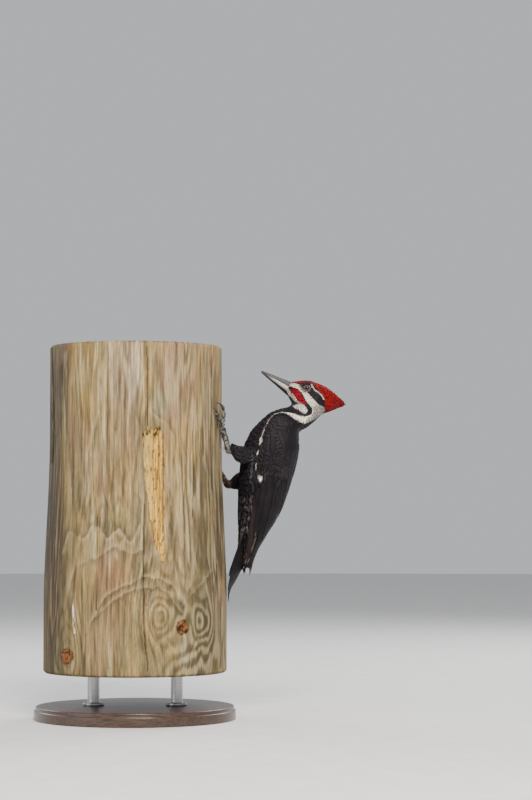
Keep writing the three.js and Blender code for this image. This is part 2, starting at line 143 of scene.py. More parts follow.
def smooth_curve(points: Sequence[Sequence[float]], per_span: int) -> np.ndarray:
    """A centripetal Catmull-Rom curve through points.

    Args:
        points: The points that it passes through.
        per_span: Steps between two of them.

    Returns:
        An array of points along the curve.
    """
    p = np.asarray(points, float)
    p = np.vstack([2 * p[0] - p[1], p, 2 * p[-1] - p[-2]])
    out = []
    for a, b, c, d in zip(p, p[1:], p[2:], p[3:]):
        knots = np.cumsum([0, *(max(math.dist(u, v), TINY) ** 0.5 for u, v in ((a, b), (b, c), (c, d)))])
        t = np.linspace(knots[1], knots[2], per_span, endpoint=False)[:, None]

        def between(u: np.ndarray, v: np.ndarray, i: int, j: int) -> np.ndarray:
            """The straight blend of u and v from knot i to knot j."""
            return (knots[j] - t) / (knots[j] - knots[i]) * u + (t - knots[i]) / (knots[j] - knots[i]) * v

        ab, bc, cd = between(a, b, 0, 1), between(b, c, 1, 2), between(c, d, 2, 3)
        out.append(between(between(ab, bc, 0, 2), between(bc, cd, 1, 3), 1, 2))
    return np.vstack([*out, p[-2][None]])


def even_curve(points: np.ndarray, count: int, start: float = 0.0, end: float = 1.0) -> np.ndarray:
    """Points spaced evenly along a line of points.

    Args:
        points: The line.
        count: How many points to return.
        start: Share of the length at which they start.
        end: Share of the length at which they end.

    Returns:
        An array of count points.
    """
    reach = np.concatenate([[0], np.cumsum(np.linalg.norm(np.diff(points, axis=0), axis=1))])
    at = np.linspace(start, end, count) * reach[-1]
    return np.stack([np.interp(at, reach, points[:, k]) for k in range(points.shape[1])], axis=1)


def nearest_on(points: np.ndarray, start: np.ndarray, edge: np.ndarray) -> tuple[np.ndarray, np.ndarray]:
    """Where points lie from each of some straight edges in the plane.

    Args:
        points: Points as rows of two.
        start: Where each edge starts.
        edge: Each edge, from its start to its end.

    Returns:
        The way from each start to each point, and the distance of each point from each edge.
    """
    apart = points[:, None, :] - start
    t = np.clip((apart * edge).sum(-1) / np.maximum((edge**2).sum(-1), TINY), 0, 1)
    return apart, np.linalg.norm(apart - t[..., None] * edge, axis=-1)


def signed_distance(points: np.ndarray, outline: np.ndarray) -> np.ndarray:
    """Distance from points to a closed outline in the plane, negative inside.

    Args:
        points: Points as rows of two.
        outline: The outline's corners in order.

    Returns:
        One distance for each point.
    """
    a, b = outline, np.roll(outline, -1, axis=0)
    edge = b - a
    distance = nearest_on(points, a, edge)[1].min(axis=1)
    px, pz = points[:, :1], points[:, 1:]
    spans = (a[:, 1] > pz) != (b[:, 1] > pz)
    slope = (b[:, 0] - a[:, 0]) / np.where(np.abs(edge[:, 1]) < TINY, TINY, edge[:, 1])
    inside = (spans & (px < slope * (pz - a[:, 1]) + a[:, 0])).sum(axis=1) % 2 == 1
    return np.where(inside, -distance, distance)


def beside(points: np.ndarray, line: np.ndarray) -> np.ndarray:
    """How far points lie to the left of an open line in the plane, negative to its right.

    Args:
        points: Points as rows of two.
        line: The line's points in order.

    Returns:
        One distance for each point.
    """
    edge = np.diff(line, axis=0)
    apart, distance = nearest_on(points, line[:-1], edge)
    left = edge[:, 0] * apart[..., 1] - edge[:, 1] * apart[..., 0]
    row, nearest = np.arange(len(points)), distance.argmin(axis=1)
    return distance[row, nearest] * np.where(left[row, nearest] < 0, -1, 1)


class Noise:
    """Smooth seeded noise in space, from 0 to 1."""

    SIZE = 8192  # entries in its table
    PRIMES = np.array([73856093, 19349663, 83492791])  # they scatter neighbouring cells over the table
    SHIFT = 17.3  # how far each octave is moved from the last

    def __init__(self, seed: int) -> None:
        """Draws the noise's table from a seed."""
        self.table = np.random.default_rng(seed).random(self.SIZE)

    def at(self, points: np.ndarray, octaves: int = 3) -> np.ndarray:
        """Reads the noise.

        Args:
            points: Rows of three numbers, one unit to a bump of the noise.
            octaves: How many sizes of bump are summed.

        Returns:
            One value for each row.
        """
        total, weight = np.zeros(len(points)), 0.0
        for octave in range(octaves):
            p = points * 2.0**octave + self.SHIFT * octave
            cell = np.floor(p).astype(np.int64)
            f = p - cell
            f = f * f * (3 - 2 * f)
            value = np.zeros(len(points))
            for corner in itertools.product((0, 1), repeat=3):
                key = (cell + corner) @ self.PRIMES
                share = np.prod(np.where(corner, f, 1 - f), axis=1)
                value += share * self.table[key % self.SIZE]
            total += value * 0.5**octave
            weight += 0.5**octave
        return total / weight


# ------------------------------------------------------------------ meshes


def write_attribute(mesh: Mesh, name: str, values: np.ndarray) -> None:
    """Keeps a number, a vector or a colour at each vertex of a mesh.

    Args:
        mesh: The mesh.
        name: The attribute's name.
        values: One row for each vertex: one, three or four numbers wide.
    """
    width = 1 if values.ndim == 1 else values.shape[1]
    kind, key = {1: ("FLOAT", "value"), 3: ("FLOAT_VECTOR", "vector"), 4: ("FLOAT_COLOR", "color")}[width]
    attribute = mesh.attributes.get(name) or mesh.attributes.new(name, kind, "POINT")
    attribute.data.foreach_set(key, np.ascontiguousarray(values, np.float32).ravel())


def read_attribute(mesh: Mesh, name: str, width: int) -> np.ndarray:
    """Reads what a mesh keeps at each vertex.

    Args:
        mesh: The mesh.
        name: The attribute's name.
        width: Numbers at each vertex: one or three.

    Returns:
        One value or one row for each vertex.
    """
    values = np.empty(len(mesh.vertices) * width, np.float32)
    mesh.attributes[name].data.foreach_get("value" if width == 1 else "vector", values)
    return values if width == 1 else values.reshape(-1, width)


def read_rows(items: bpy.types.bpy_prop_collection, key: str) -> np.ndarray:
    """Rows of three numbers read from each item of a mesh's list.

    Args:
        items: The list.
        key: What is read from each.

    Returns:
        One row for each item.
    """
    flat = np.empty(len(items) * 3, np.float32)
    items.foreach_get(key, flat)
    return flat.reshape(-1, 3).astype(float)


def vertices_of(mesh: Mesh) -> np.ndarray:
    """A mesh's vertices in millimetres."""
    return read_rows(mesh.vertices, "co") / MM


def normals_of(mesh: Mesh) -> np.ndarray:
    """A mesh's vertex normals."""
    return read_rows(mesh.vertex_normals, "vector")


def write_bake_map(mesh: Mesh, places: np.ndarray) -> None:
    """Gives a mesh the map that its finish is baked on.

    Args:
        mesh: The mesh.
        places: A place on the map for each vertex, as rows of two.
    """
    corner = np.empty(len(mesh.loops), np.int32)
    mesh.loops.foreach_get("vertex_index", corner)
    layer = mesh.uv_layers.new(name="OFBake")
    layer.uv.foreach_set("vector", np.ascontiguousarray(places[corner], np.float32).ravel())


def plain_copy(piece: Piece, name: str) -> Mesh:
    """Turns an object with live modifiers into a plain mesh, and removes the object.

    Args:
        piece: The object.
        name: The mesh's name.

    Returns:
        The mesh.
    """
    mesh = bpy.data.meshes.new_from_object(piece.evaluated_get(bpy.context.evaluated_depsgraph_get()))
    bpy.data.objects.remove(piece)
    mesh.name = name
    return mesh


def link(mesh: Mesh, name: str) -> Piece:
    """Shows a mesh as an object at the origin."""
    piece = bpy.data.objects.new(name, mesh)
    bpy.context.scene.collection.objects.link(piece)
    return piece


def leaf_faces(along: np.ndarray, across: np.ndarray) -> tuple[np.ndarray, list[tuple[int, ...]]]:
    """Faces of a thin closed leaf over a grid: an upper sheet, and a lower one that shares its rim.

    Args:
        along: The grid's shares of the way along the leaf.
        across: Its shares of the way across it, from -1 to 1.

    Returns:
        Which points of the grid the lower sheet has of its own, and the faces.
    """
    inner = (np.abs(across) < 0.99) & (along > 0.001) & (along < 0.999)
    upper = np.arange(along.size).reshape(along.shape)
    lower = np.where(inner, along.size + np.cumsum(inner).reshape(along.shape) - 1, upper)
    faces = []
    for r, c in itertools.product(range(along.shape[0] - 1), range(along.shape[1] - 1)):
        for grid, turned in ((upper, 1), (lower, -1)):
            faces.append((grid[r, c], grid[r, c + 1], grid[r + 1, c + 1], grid[r + 1, c])[::turned])
    return inner, faces


class Shape:
    """A mesh while it is made: vertices in millimetres, faces, and what each vertex carries."""

    def __init__(self) -> None:
        """Starts with nothing in it."""
        self.points: list[np.ndarray] = []
        self.faces: list[tuple[int, ...]] = []
        self.carried: dict[str, list[np.ndarray]] = {}
        self.count = 0

    def add(self, points: np.ndarray, faces: Iterable[Sequence[int]], **carried: np.ndarray) -> None:
        """Adds one connected form.

        Args:
            points: Its vertices in millimetres.
            faces: Its faces, by vertex within this form.
            **carried: Named values, one row for each vertex.
        """
        self.points.append(np.asarray(points, float))
        self.faces += [tuple(int(i) + self.count for i in face) for face in faces]
        self.count += len(points)
        for name, values in carried.items():
            self.carried.setdefault(name, []).append(np.asarray(values, float))

    def piece(self, name: str, smooth: bool = True) -> Piece:
        """Turns what was added into an object.

        Args:
            name: The object's name.
            smooth: Whether its faces shade smoothly.

        Returns:
            The object, at the origin.
        """
        mesh = bpy.data.meshes.new(name)
        mesh.from_pydata((np.vstack(self.points) * MM).tolist(), [], self.faces)
        if smooth:
            mesh.shade_smooth()
        for key, parts in self.carried.items():
            write_attribute(mesh, key, np.concatenate(parts))
        mesh.validate()
        return link(mesh, name)

    def closed(self, name: str) -> Piece:
        """Turns closed forms into an object with every face outwards."""
        piece = self.piece(name)
        point_outwards(piece)
        return piece


def ring_faces(rings: int, sides: int) -> list[tuple[int, ...]]:
    """Faces of a closed form through rings of vertices, with a face over each end.

    Args:
        rings: How many rings.
        sides: Vertices in each ring.

    Returns:
        The faces, the two ends last.
    """
    faces = []
    for r, i in itertools.product(range(rings - 1), range(sides)):
        a, b = r * sides + i, r * sides + (i + 1) % sides
        faces.append((a, b, b + sides, a + sides))
    last = (rings - 1) * sides
    return faces + [tuple(range(sides - 1, -1, -1)), tuple(range(last, last + sides))]


def point_outwards(piece: Piece, weld: bool = False) -> None:
    """Turns the faces of closed forms outwards.

    Args:
        piece: The object.
        weld: Whether vertices in one place are joined first.
    """
    build = bmesh.new()
    build.from_mesh(piece.data)
    if weld:
        bmesh.ops.remove_doubles(build, verts=build.verts, dist=1e-7)
    bmesh.ops.recalc_face_normals(build, faces=build.faces)
    build.to_mesh(piece.data)
    build.free()


def tube(
    centres: np.ndarray, radii: np.ndarray, sides: int, upward: Sequence[float]
) -> tuple[np.ndarray, np.ndarray]:
    """Rings of vertices round a line.

    Args:
        centres: The line's points.
        radii: A radius for each point, or rows of two: along upward, and across it.
        sides: Vertices in each ring.
        upward: The direction from which each ring starts, as far as it can.

    Returns:
        The vertices, and for each its angle from upward in radians.
    """
    radii = np.broadcast_to(np.asarray(radii, float).reshape(len(centres), -1), (len(centres), 2))
    along = unit(np.gradient(centres, axis=0))
    up = np.asarray(upward, float) - (along @ np.asarray(upward, float))[:, None] * along
    up = unit(up)
    across = np.cross(along, up)
    angle = turns(sides)
    ring = (
        centres[:, None]
        + radii[:, None, :1] * np.cos(angle)[None, :, None] * up[:, None]
        + radii[:, None, 1:] * np.sin(angle)[None, :, None] * across[:, None]
    )
    return ring.reshape(-1, 3), np.tile(angle, len(centres))


def settle(
    piece: Piece, material: bpy.types.Material, slot: str, nodes: Sequence[str] = ()
) -> None:
    """Finishes a piece: its material, the body it rides on and the solids that it stands for.

    Args:
        piece: The piece.
        material: Its finish.
        slot: The record's material slot; not used.
        nodes: The solids that it replaces.
    """
    piece.data.materials.clear()
    piece.data.materials.append(material)
    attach(piece, "root")
    if nodes:
        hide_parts(*nodes)
    triangles = sum(len(face.vertices) - 2 for face in piece.data.polygons)
    LOG.info("%s: %d triangles, replaces %s", piece.name, triangles, ", ".join(nodes) or "nothing")


# ------------------------------------------------------------------ node trees


class Graph:
    """A node tree that is written as calls."""

    def __init__(self, tree: bpy.types.NodeTree) -> None:
        """Takes the tree to write in."""
        self.tree = tree

    def add(
        self, kind: str, inputs: dict[str | int, object] | None = None, **settings: object
    ) -> bpy.types.Node:
        """Adds a node.

        Args:
            kind: Blender's name for the node.
            inputs: For each input, by name, identifier or number, a socket to link or a value to set.
            **settings: Properties of the node.

        Returns:
            The node.
        """
        node = self.tree.nodes.new(kind)
        for key, value in settings.items():
            setattr(node, key, value)
        for key, value in (inputs or {}).items():
            self.feed(self.socket(node.inputs, key), value)
        return node

    def feed(self, socket: Socket, value: object) -> None:
        """Links another socket to a socket, or sets its value."""
        if isinstance(value, Socket):
            self.tree.links.new(value, socket)
        else:
            socket.default_value = value

    @staticmethod
    def socket(sockets: bpy.types.bpy_prop_collection, key: str | int) -> Socket:
        """A socket by its number, identifier or name."""
        if isinstance(key, int):
            return sockets[key]
        return next((s for s in sockets if s.identifier == key), None) or sockets[key]

    def math(self, operation: str, *values: object) -> Socket:
        """The result of a sum on up to three values or sockets."""
        return self.add("ShaderNodeMath", dict(enumerate(values)), operation=operation).outputs[0]

    def times(self, first: object, *others: object) -> Socket:
        """The product of values or sockets."""
        return functools.reduce(functools.partial(self.math, "MULTIPLY"), others, first)

    def plus(self, first: object, *others: object) -> Socket:
        """The sum of values or sockets."""
        return functools.reduce(functools.partial(self.math, "ADD"), others, first)

    def less(self, share: object, strength: object = 1.0) -> Socket:
        """What is left of 1 when a share of it is taken, at a strength."""
        return self.math("SUBTRACT", 1.0, share if strength == 1.0 else self.times(share, strength))

    def vector(self, operation: str, a: object, b: object = (0.0, 0.0, 0.0), scale: object = None) -> Socket:
        """The result of a sum on vectors.

        Args:
            operation: Blender's name for the sum.
            a: The first vector or socket.
            b: The second.
            scale: The factor of a SCALE.

        Returns:
            The result's socket.
        """
        inputs = {0: a, 1: b} if scale is None else {0: a, "Scale": scale}
        return self.add("ShaderNodeVectorMath", inputs, operation=operation).outputs["Vector"]


class Paint(Graph):
    """A material written from its inputs to its shader."""

    def __init__(self, name: str) -> None:
        """Starts a material with a Principled shader."""
        self.material = bpy.data.materials.new(name)
        self.material.use_nodes = True
        super().__init__(self.material.node_tree)
        self.shader = self.tree.nodes["Principled BSDF"]

    def finish(self, **inputs: object) -> bpy.types.Material:
        """Feeds the shader.

        Args:
            **inputs: Values or sockets by input name, with _ for a space.

        Returns:
            The material.
        """
        for key, value in inputs.items():
            self.feed(self.shader.inputs[key.replace("_", " ")], value)
        return self.material

    def carried(self, name: str, output: str = "Color") -> Socket:
        """What the mesh carries under a name."""
        return self.add("ShaderNodeAttribute", attribute_name=name).outputs[output]

    def place(self, scale: Sequence[float] = (1, 1, 1)) -> Socket:
        """Object coordinates in millimetres, stretched along each axis."""
        here = self.add("ShaderNodeTexCoord").outputs["Object"]
        inputs = {"Vector": here, "Scale": tuple(s / MM for s in scale)}
        return self.add("ShaderNodeMapping", inputs).outputs["Vector"]

    def noise(self, vector: Socket, scale: float, detail: float = 4, distortion: float = 0) -> Socket:
        """Fractal noise.

        Args:
            vector: Where it is read.
            scale: Bumps to a unit.
            detail: Octaves.
            distortion: How far it is swirled.

        Returns:
            The noise's number.
        """
        inputs = {"Vector": vector, "Scale": scale, "Detail": detail, "Distortion": distortion}
        return self.add("ShaderNodeTexNoise", inputs).outputs[0]

    def ramp(self, value: Socket, low: float, high: float, start: float = 0.0, end: float = 1.0) -> Socket:
        """A number mapped smoothly.

        Args:
            value: The number.
            low: The number that gives start.
            high: The number that gives end.
            start: The result at low.
            end: The result at high.

        Returns:
            The result's socket.
        """
        inputs = {"Value": value, "From Min": low, "From Max": high, "To Min": start, "To Max": end}
        return self.add("ShaderNodeMapRange", inputs, interpolation_type="SMOOTHSTEP").outputs[0]

    def mix(self, share: object, a: object, b: object, meeting: str = "MIX") -> Socket:
        """Two colours mixed.

        Args:
            share: How much of b.
            a: The first colour.
            b: The second colour.
            meeting: How they meet.

        Returns:
            The colour's socket.
        """
        first, second = (colour.rgba if isinstance(colour, Tone) else colour for colour in (a, b))
        inputs = {0: share, 6: first, 7: second}
        return self.add("ShaderNodeMix", inputs, data_type="RGBA", blend_type=meeting).outputs[2]

    def shade(self, colour: Socket, factor: Socket) -> Socket:
        """A colour made darker or lighter by a number."""
        grey = self.add("ShaderNodeCombineXYZ", {0: factor, 1: factor, 2: factor}).outputs[0]
        return self.mix(1.0, colour, grey, "MULTIPLY")

    def bump(self, height: Socket, depth: float) -> Socket:
        """A normal bumped by a height from 0 to 1, whose 1 stands for a depth in millimetres."""
        inputs = {"Height": height, "Distance": depth * MM, "Strength": 1.0}
        return self.add("ShaderNodeBump", inputs).outputs[0]


# ------------------------------------------------------------------ plumage

Line = tuple[tuple[float, float], ...]

BLACK = Tone(28, 23, 29)
BROWN_BLACK = Tone(38, 29, 31)
SLATE_BLACK = Tone(40, 37, 43)
WHITE = Tone(236, 229, 213)
RED = Tone(134, 0, 3)


@dataclass(frozen=True)
class Patch:
    """A marking with an outline, as seen from the side; both sides carry it."""

    tone: Tone
    outline: Line
    blur: float = 0.8  # half the width of its soft edge
    inner: float = -1.0  # it starts this far from the plane of symmetry
    strength: float = 1.0

    def cover(self, flat: np.ndarray, aside: np.ndarray) -> tuple[np.ndarray, np.ndarray]:
        """How much of the marking shows.

        Args:
            flat: Points as rows of x and z.
            aside: Their distances from the plane of symmetry.

        Returns:
            The indices of the points that it reaches, and a share for each of those.
        """
        outline = np.array(self.outline, float)
        low, high = outline.min(axis=0) - 3 * self.blur, outline.max(axis=0) + 3 * self.blur
        near = np.flatnonzero(((flat > low) & (flat < high)).all(axis=1) & (aside > self.inner - 1.5))
        share = smoothstep(self.blur, -self.blur, signed_distance(flat[near], outline))
        return near, share * smoothstep(self.inner - 1.5, self.inner + 1.5, aside[near]) * self.strength


@dataclass(frozen=True)
class Streak:
    """A pale line of feather edges along the wing, as seen from the side."""

    tone: Tone
    line: Line
    width: float
    inner: float = 12.0
    strength: float = 1.0

    def cover(self, flat: np.ndarray, aside: np.ndarray) -> tuple[np.ndarray, np.ndarray]:
        """How much of the line shows, as for a patch."""
        line = np.array(self.line, float)
        low, high = line.min(axis=0) - 2 * self.width, line.max(axis=0) + 2 * self.width
        near = np.flatnonzero(((flat > low) & (flat < high)).all(axis=1) & (aside > self.inner))
        share = smoothstep(0.75 * self.width, 0.3 * self.width, np.abs(beside(flat[near], line)))
        return near, share * self.strength


MARKINGS: tuple[Patch | Streak, ...] = (
    # The dark slate mask round the eye and the forehead's edge.
    Patch(
        SLATE_BLACK,
        (
            (222, 503), (240, 502), (256, 504), (268, 498), (278, 486), (270, 470), (255, 474), (245, 486),
            (236, 494), (222, 500),
        ),
        2.0,
    ),
    # The white stripe from the bill through the cheek and down the side of the neck.
    Patch(
        WHITE,
        (
            (222, 502.2), (229.5, 500.9), (235.5, 499.9), (241.5, 498.8), (246, 496.4), (249, 492.4), (253.5, 487.8),
            (258, 483.8), (262.5, 479), (267, 473.9), (271.5, 468.7), (276, 466.8), (281, 465), (282.6, 460),
            (280, 455), (275, 451.6), (269.6, 448.2), (263.2, 446), (259, 443), (253.5, 441), (248.2, 442),
            (243, 444.4), (237, 447.6), (232.5, 451), (228, 453.8), (225, 455.2),
            (225, 456.6), (232.5, 455.4), (240, 453.4), (246, 451.2), (253.5, 450.5), (259.5, 451.9),
            (263.1, 454.1), (264, 458.2), (263.4, 462.8), (261, 466.3), (256.8, 470.8), (253.2, 475.3),
            (250.2, 480.6), (247.2, 485.8), (243.5, 490.9), (238.5, 493.1), (232.5, 495.4), (228, 498.1),
        ),
        0.8,
        5.0,
    ),
    Patch(
        Tone(226, 207, 166), ((226, 501), (238, 499.6), (245, 497.4), (243, 492.6), (236, 494.6), (229, 497)), 1.6,
        3.0, 0.75,
    ),
    # The grey-white side of the neck.
    Patch(
        Tone(124, 119, 117),
        (
            (264.8, 465.8), (270, 468.4), (276, 466.6), (282, 464), (283, 459), (279.8, 454), (270, 447.4),
            (259.5, 443), (255, 444), (257.5, 449.2), (262.5, 451.8), (266, 457.2),
        ),
        1.8,
        5.0,
        0.8,
    ),
    # Chin and throat: a grey-white chin, partly dimmed by painted shade, a dark strip of painted shade under the jaw,
    # and a paler throat.
    Patch(
        Tone(186, 180, 170),
        (
            (219, 498), (226.5, 494.4), (231, 488.9), (235.5, 485.6), (240, 481.1), (243.9, 475.7), (248.2, 471.2),
            (251.7, 467.7), (247.5, 469.3), (242.2, 470.6), (237.8, 474), (232.5, 479.8), (228, 484.4), (219, 489),
        ),
        0.9,
    ),
    # A dark strip of painted shade along the underside of the jaw.
    Patch(
        Tone(46, 43, 44),
        ((219, 490), (224.4, 486), (229, 481.2), (234, 476.2), (238.4, 473), (243, 470.4), (238, 466), (224, 474)),
        1.2,
    ),
    Patch(
        Tone(208, 202, 192),
        (
            (235.6, 467.4), (241.5, 469.4), (246.9, 470.3), (251.6, 467.3), (255.8, 462.7), (256.9, 459),
            (254.1, 455.5), (250.5, 456.4), (246, 460), (240.8, 462.4), (236.4, 464.8),
        ),
        0.9,
    ),
    # The male's red moustache, under a thin black line.
    Patch(
        BLACK,
        (
            (229, 492), (235.5, 493), (241, 491.8), (246.4, 488), (250.6, 482.6), (253, 477), (258, 470),
            (262.6, 464.4), (264, 458), (260, 452), (254.5, 451.6), (257.4, 460), (255.2, 467), (250, 474),
            (245, 481), (238, 488),
        ),
        0.8,
    ),
    Patch(
        Tone(136, 4, 22),
        (
            (230.6, 490.8), (235.5, 492.3), (240, 491.3), (244, 488.3), (247.6, 484), (249.4, 480), (251.8, 475.4),
            (254.2, 471.3), (255.4, 468.2), (251.1, 468.2), (246.9, 470.4), (242.6, 473.6), (239.4, 477.8),
            (236.1, 482.2), (231.4, 486.8),
        ),
        0.7,
    ),
    # Crown, nape and crest, and the fine white line behind the eye.
    Patch(
        RED,
        (
            (232.5, 501.6), (240, 500.2), (246, 500.6), (252, 501.6), (258.8, 502.2), (263.7, 500.4), (267.6, 495.8),
            (271.8, 491.3), (276.9, 485.6), (280.2, 479.9), (282.3, 474.8), (282.9, 468), (283.5, 460.5),
            (285, 454), (295, 440), (330, 445), (330, 530), (233, 530),
        ),
        0.7,
    ),
    Streak(
        Tone(222, 208, 186),
        ((262.6, 498.4), (264, 494.6), (266.6, 491), (270.4, 488), (274.6, 485), (277.6, 481.4), (280.2, 477)),
        1.7,
        3.0,
        0.9,
    ),
    # The brown skin in front of the eye.
    Patch(
        Tone(70, 56, 44),
        ((243.5, 498.4), (247.5, 498), (251, 492), (256, 487), (252, 485.4), (247.5, 489.6), (244.5, 493.6)), 1.2,
        3.0, 0.8,
    ),
    # White edges along the folded wing.
    Streak(WHITE, ((227, 455.6), (219, 456.4), (211.5, 454.8), (205, 450.8)), 0.9, 9.0, 0.7),
    Streak(WHITE, ((205, 450.8), (201, 446.2), (198, 440.2), (195.6, 436)), 0.8, 9.0, 0.4),
    Streak(Tone(150, 144, 140), ((195.6, 436), (193.2, 431.2), (191, 427)), 0.9, 9.0, 0.6),
    Streak(WHITE, ((193.2, 430), (190.1, 423.5), (188.3, 417)), 1.2, 9.0),
    Patch(WHITE, ((187.4, 419.5), (189.4, 417), (189.8, 411), (186, 409), (184, 405.4), (185.4, 411)), 0.6, 9.0),
    Streak(WHITE, ((184.2, 398.6), (183, 394.6)), 1.3, 9.0, 0.75),
    Streak(WHITE, ((180.8, 380), (179.4, 370)), 1.4, 9.0),
    Patch(WHITE, ((182.8, 361), (189.6, 360.2), (188.2, 354.2), (186.4, 357.4)), 0.4, 9.0),
    Streak(Tone(84, 80, 86), ((176.4, 391), (174, 372), (172.6, 352)), 2.4, 9.0, 0.45),
    # The folded quills: a brown run, a pale line along its edge that is a painted highlight, and the black behind it.
    Streak(
        Tone(64, 50, 50), ((174, 330), (174, 300), (173, 282), (171, 264), (168, 247), (163, 234)), 7.0, 9.0, 0.55
    ),
    Streak(
        Tone(12, 10, 14), ((188, 304), (188, 287), (187, 276), (183, 262), (179, 247), (175, 233)), 9.0, 5.0, 0.75
    ),
    # A cream line along the folded quills' edge: a painted highlight.
    Streak(Tone(170, 158, 136), ((179.8, 276), (179, 267), (176, 257), (172.4, 249)), 1.4, 9.0, 0.42),
)


class Plumage:
    """The colours of skin and feathers, which are the same wherever they are read."""

    def __init__(self) -> None:
        """Sets the noise that breaks the colours up."""
        self.noise = Noise(11)

    def tones(self, points: np.ndarray, tuft: np.ndarray) -> np.ndarray:
        """The plumage's colour at points.

        Args:
            points: Rows of x, y and z in millimetres.
            tuft: A random number from 0 to 1 for the feather that each belongs to.

        Returns:
            Rows of red, green, blue and 1, in scene light.
        """
        flat, aside = points[:, [0, 2]], np.abs(points[:, 1])
        wobble = self.noise.at(points / 3.2, 2) - 0.5
        flat = flat + wobble[:, None] * np.array([1.1, 0.9])
        height = points[:, 2]
        brown = smoothstep(330, 230, height) * 0.65 + 0.5 * (self.noise.at(points / 14 + 5, 2) - 0.35)
        colours = blend(BLACK.linear, BROWN_BLACK.linear, np.clip(brown, 0, 1))
        gloom = self.noise.at(points / [8, 8, 15] + 31, 3)
        shadow = 0.4 * smoothstep(178, 168, points[:, 0]) * smoothstep(400, 384, height)
        shadow = shadow + 0.12 * smoothstep(330, 230, height)
        colours = colours * ((0.9 + 0.16 * tuft) * (0.52 + 0.96 * gloom) * (1 - shadow))[:, None]
        # Pale specks over the lower belly: painted highlights on the tips of ruffled feathers.
        belly = smoothstep(178, 170, points[:, 0]) * smoothstep(336, 322, height) * smoothstep(262, 280, height)
        speck_and_glint = 0.55 * belly * smoothstep(0.56, 0.68, self.noise.at(points / 2.6 + 57, 1))
        colours += (Tone(112, 106, 110).linear - colours) * speck_and_glint[:, None]
        for marking in MARKINGS:
            near, share = marking.cover(flat, aside)
            tone = marking.tone.linear * (0.9 + 0.2 * tuft[near, None])
            colours[near] += (tone - colours[near]) * share[:, None]
        # The lower, rear part of the crest is darkened by about a third: painted shade.
        crest = smoothstep(283, 306, points[:, 0]) * smoothstep(486, 468, height) * (height > 450)
        colours *= 1 - 0.35 * crest[:, None]
        return opaque(colours)


@dataclass(frozen=True)
class FeatherFinish:
    """Vanes with fine barbs, a soft gloss and a faint cool sheen."""

    name: str
    roughness: float = 0.52
    specular: float = 0.2
    sheen: float = 0.05
    barb: float = 0.55  # millimetres between barbs
    depth: float = 0.06
    mottle: float = 0.2  # how uneven it is over a few centimetres

    def material(self) -> bpy.types.Material:
        """Makes the material."""
        paint = Paint(self.name)
        vane = paint.add("ShaderNodeSeparateXYZ", {0: paint.carried("vane", "Vector")}).outputs
        across = paint.math("ABSOLUTE", vane[0])
        barb = paint.plus(vane[1], paint.times(across, -1.1))
        wave = paint.math("SINE", paint.times(barb, 2 * math.pi / self.barb))
        clump = paint.noise(paint.carried("vane", "Vector"), 0.9, 3)
        streak = paint.ramp(paint.plus(wave, paint.times(clump, 2.0)), -0.4, 2.2, 0.92, 1.08)
        patchy = paint.ramp(paint.noise(paint.place(), 0.08, 4), 0.3, 0.7, 1 - self.mottle, 1 + self.mottle)
        colour = paint.shade(paint.carried("plumage"), paint.times(streak, patchy))
        height = paint.plus(paint.times(wave, 0.5), clump)
        return paint.finish(
            Base_Color=colour,
            Roughness=paint.ramp(clump, 0.2, 0.8, self.roughness - 0.1, self.roughness + 0.12),
            Specular_IOR_Level=self.specular,
            Sheen_Weight=self.sheen,
            Sheen_Roughness=0.4,
            Sheen_Tint=Tone(170, 176, 200).rgba,
            Normal=paint.bump(height, self.depth),
        )


# ------------------------------------------------------------------ skin and the lie of the coat


@dataclass(frozen=True)
class Lie:
    """How the coat lies near one place on the side of the bird."""

    x: float
    z: float
    along_x: float
    along_z: float
    length: float
    width: float
    depth: float  # how far the skin is below the coat's face


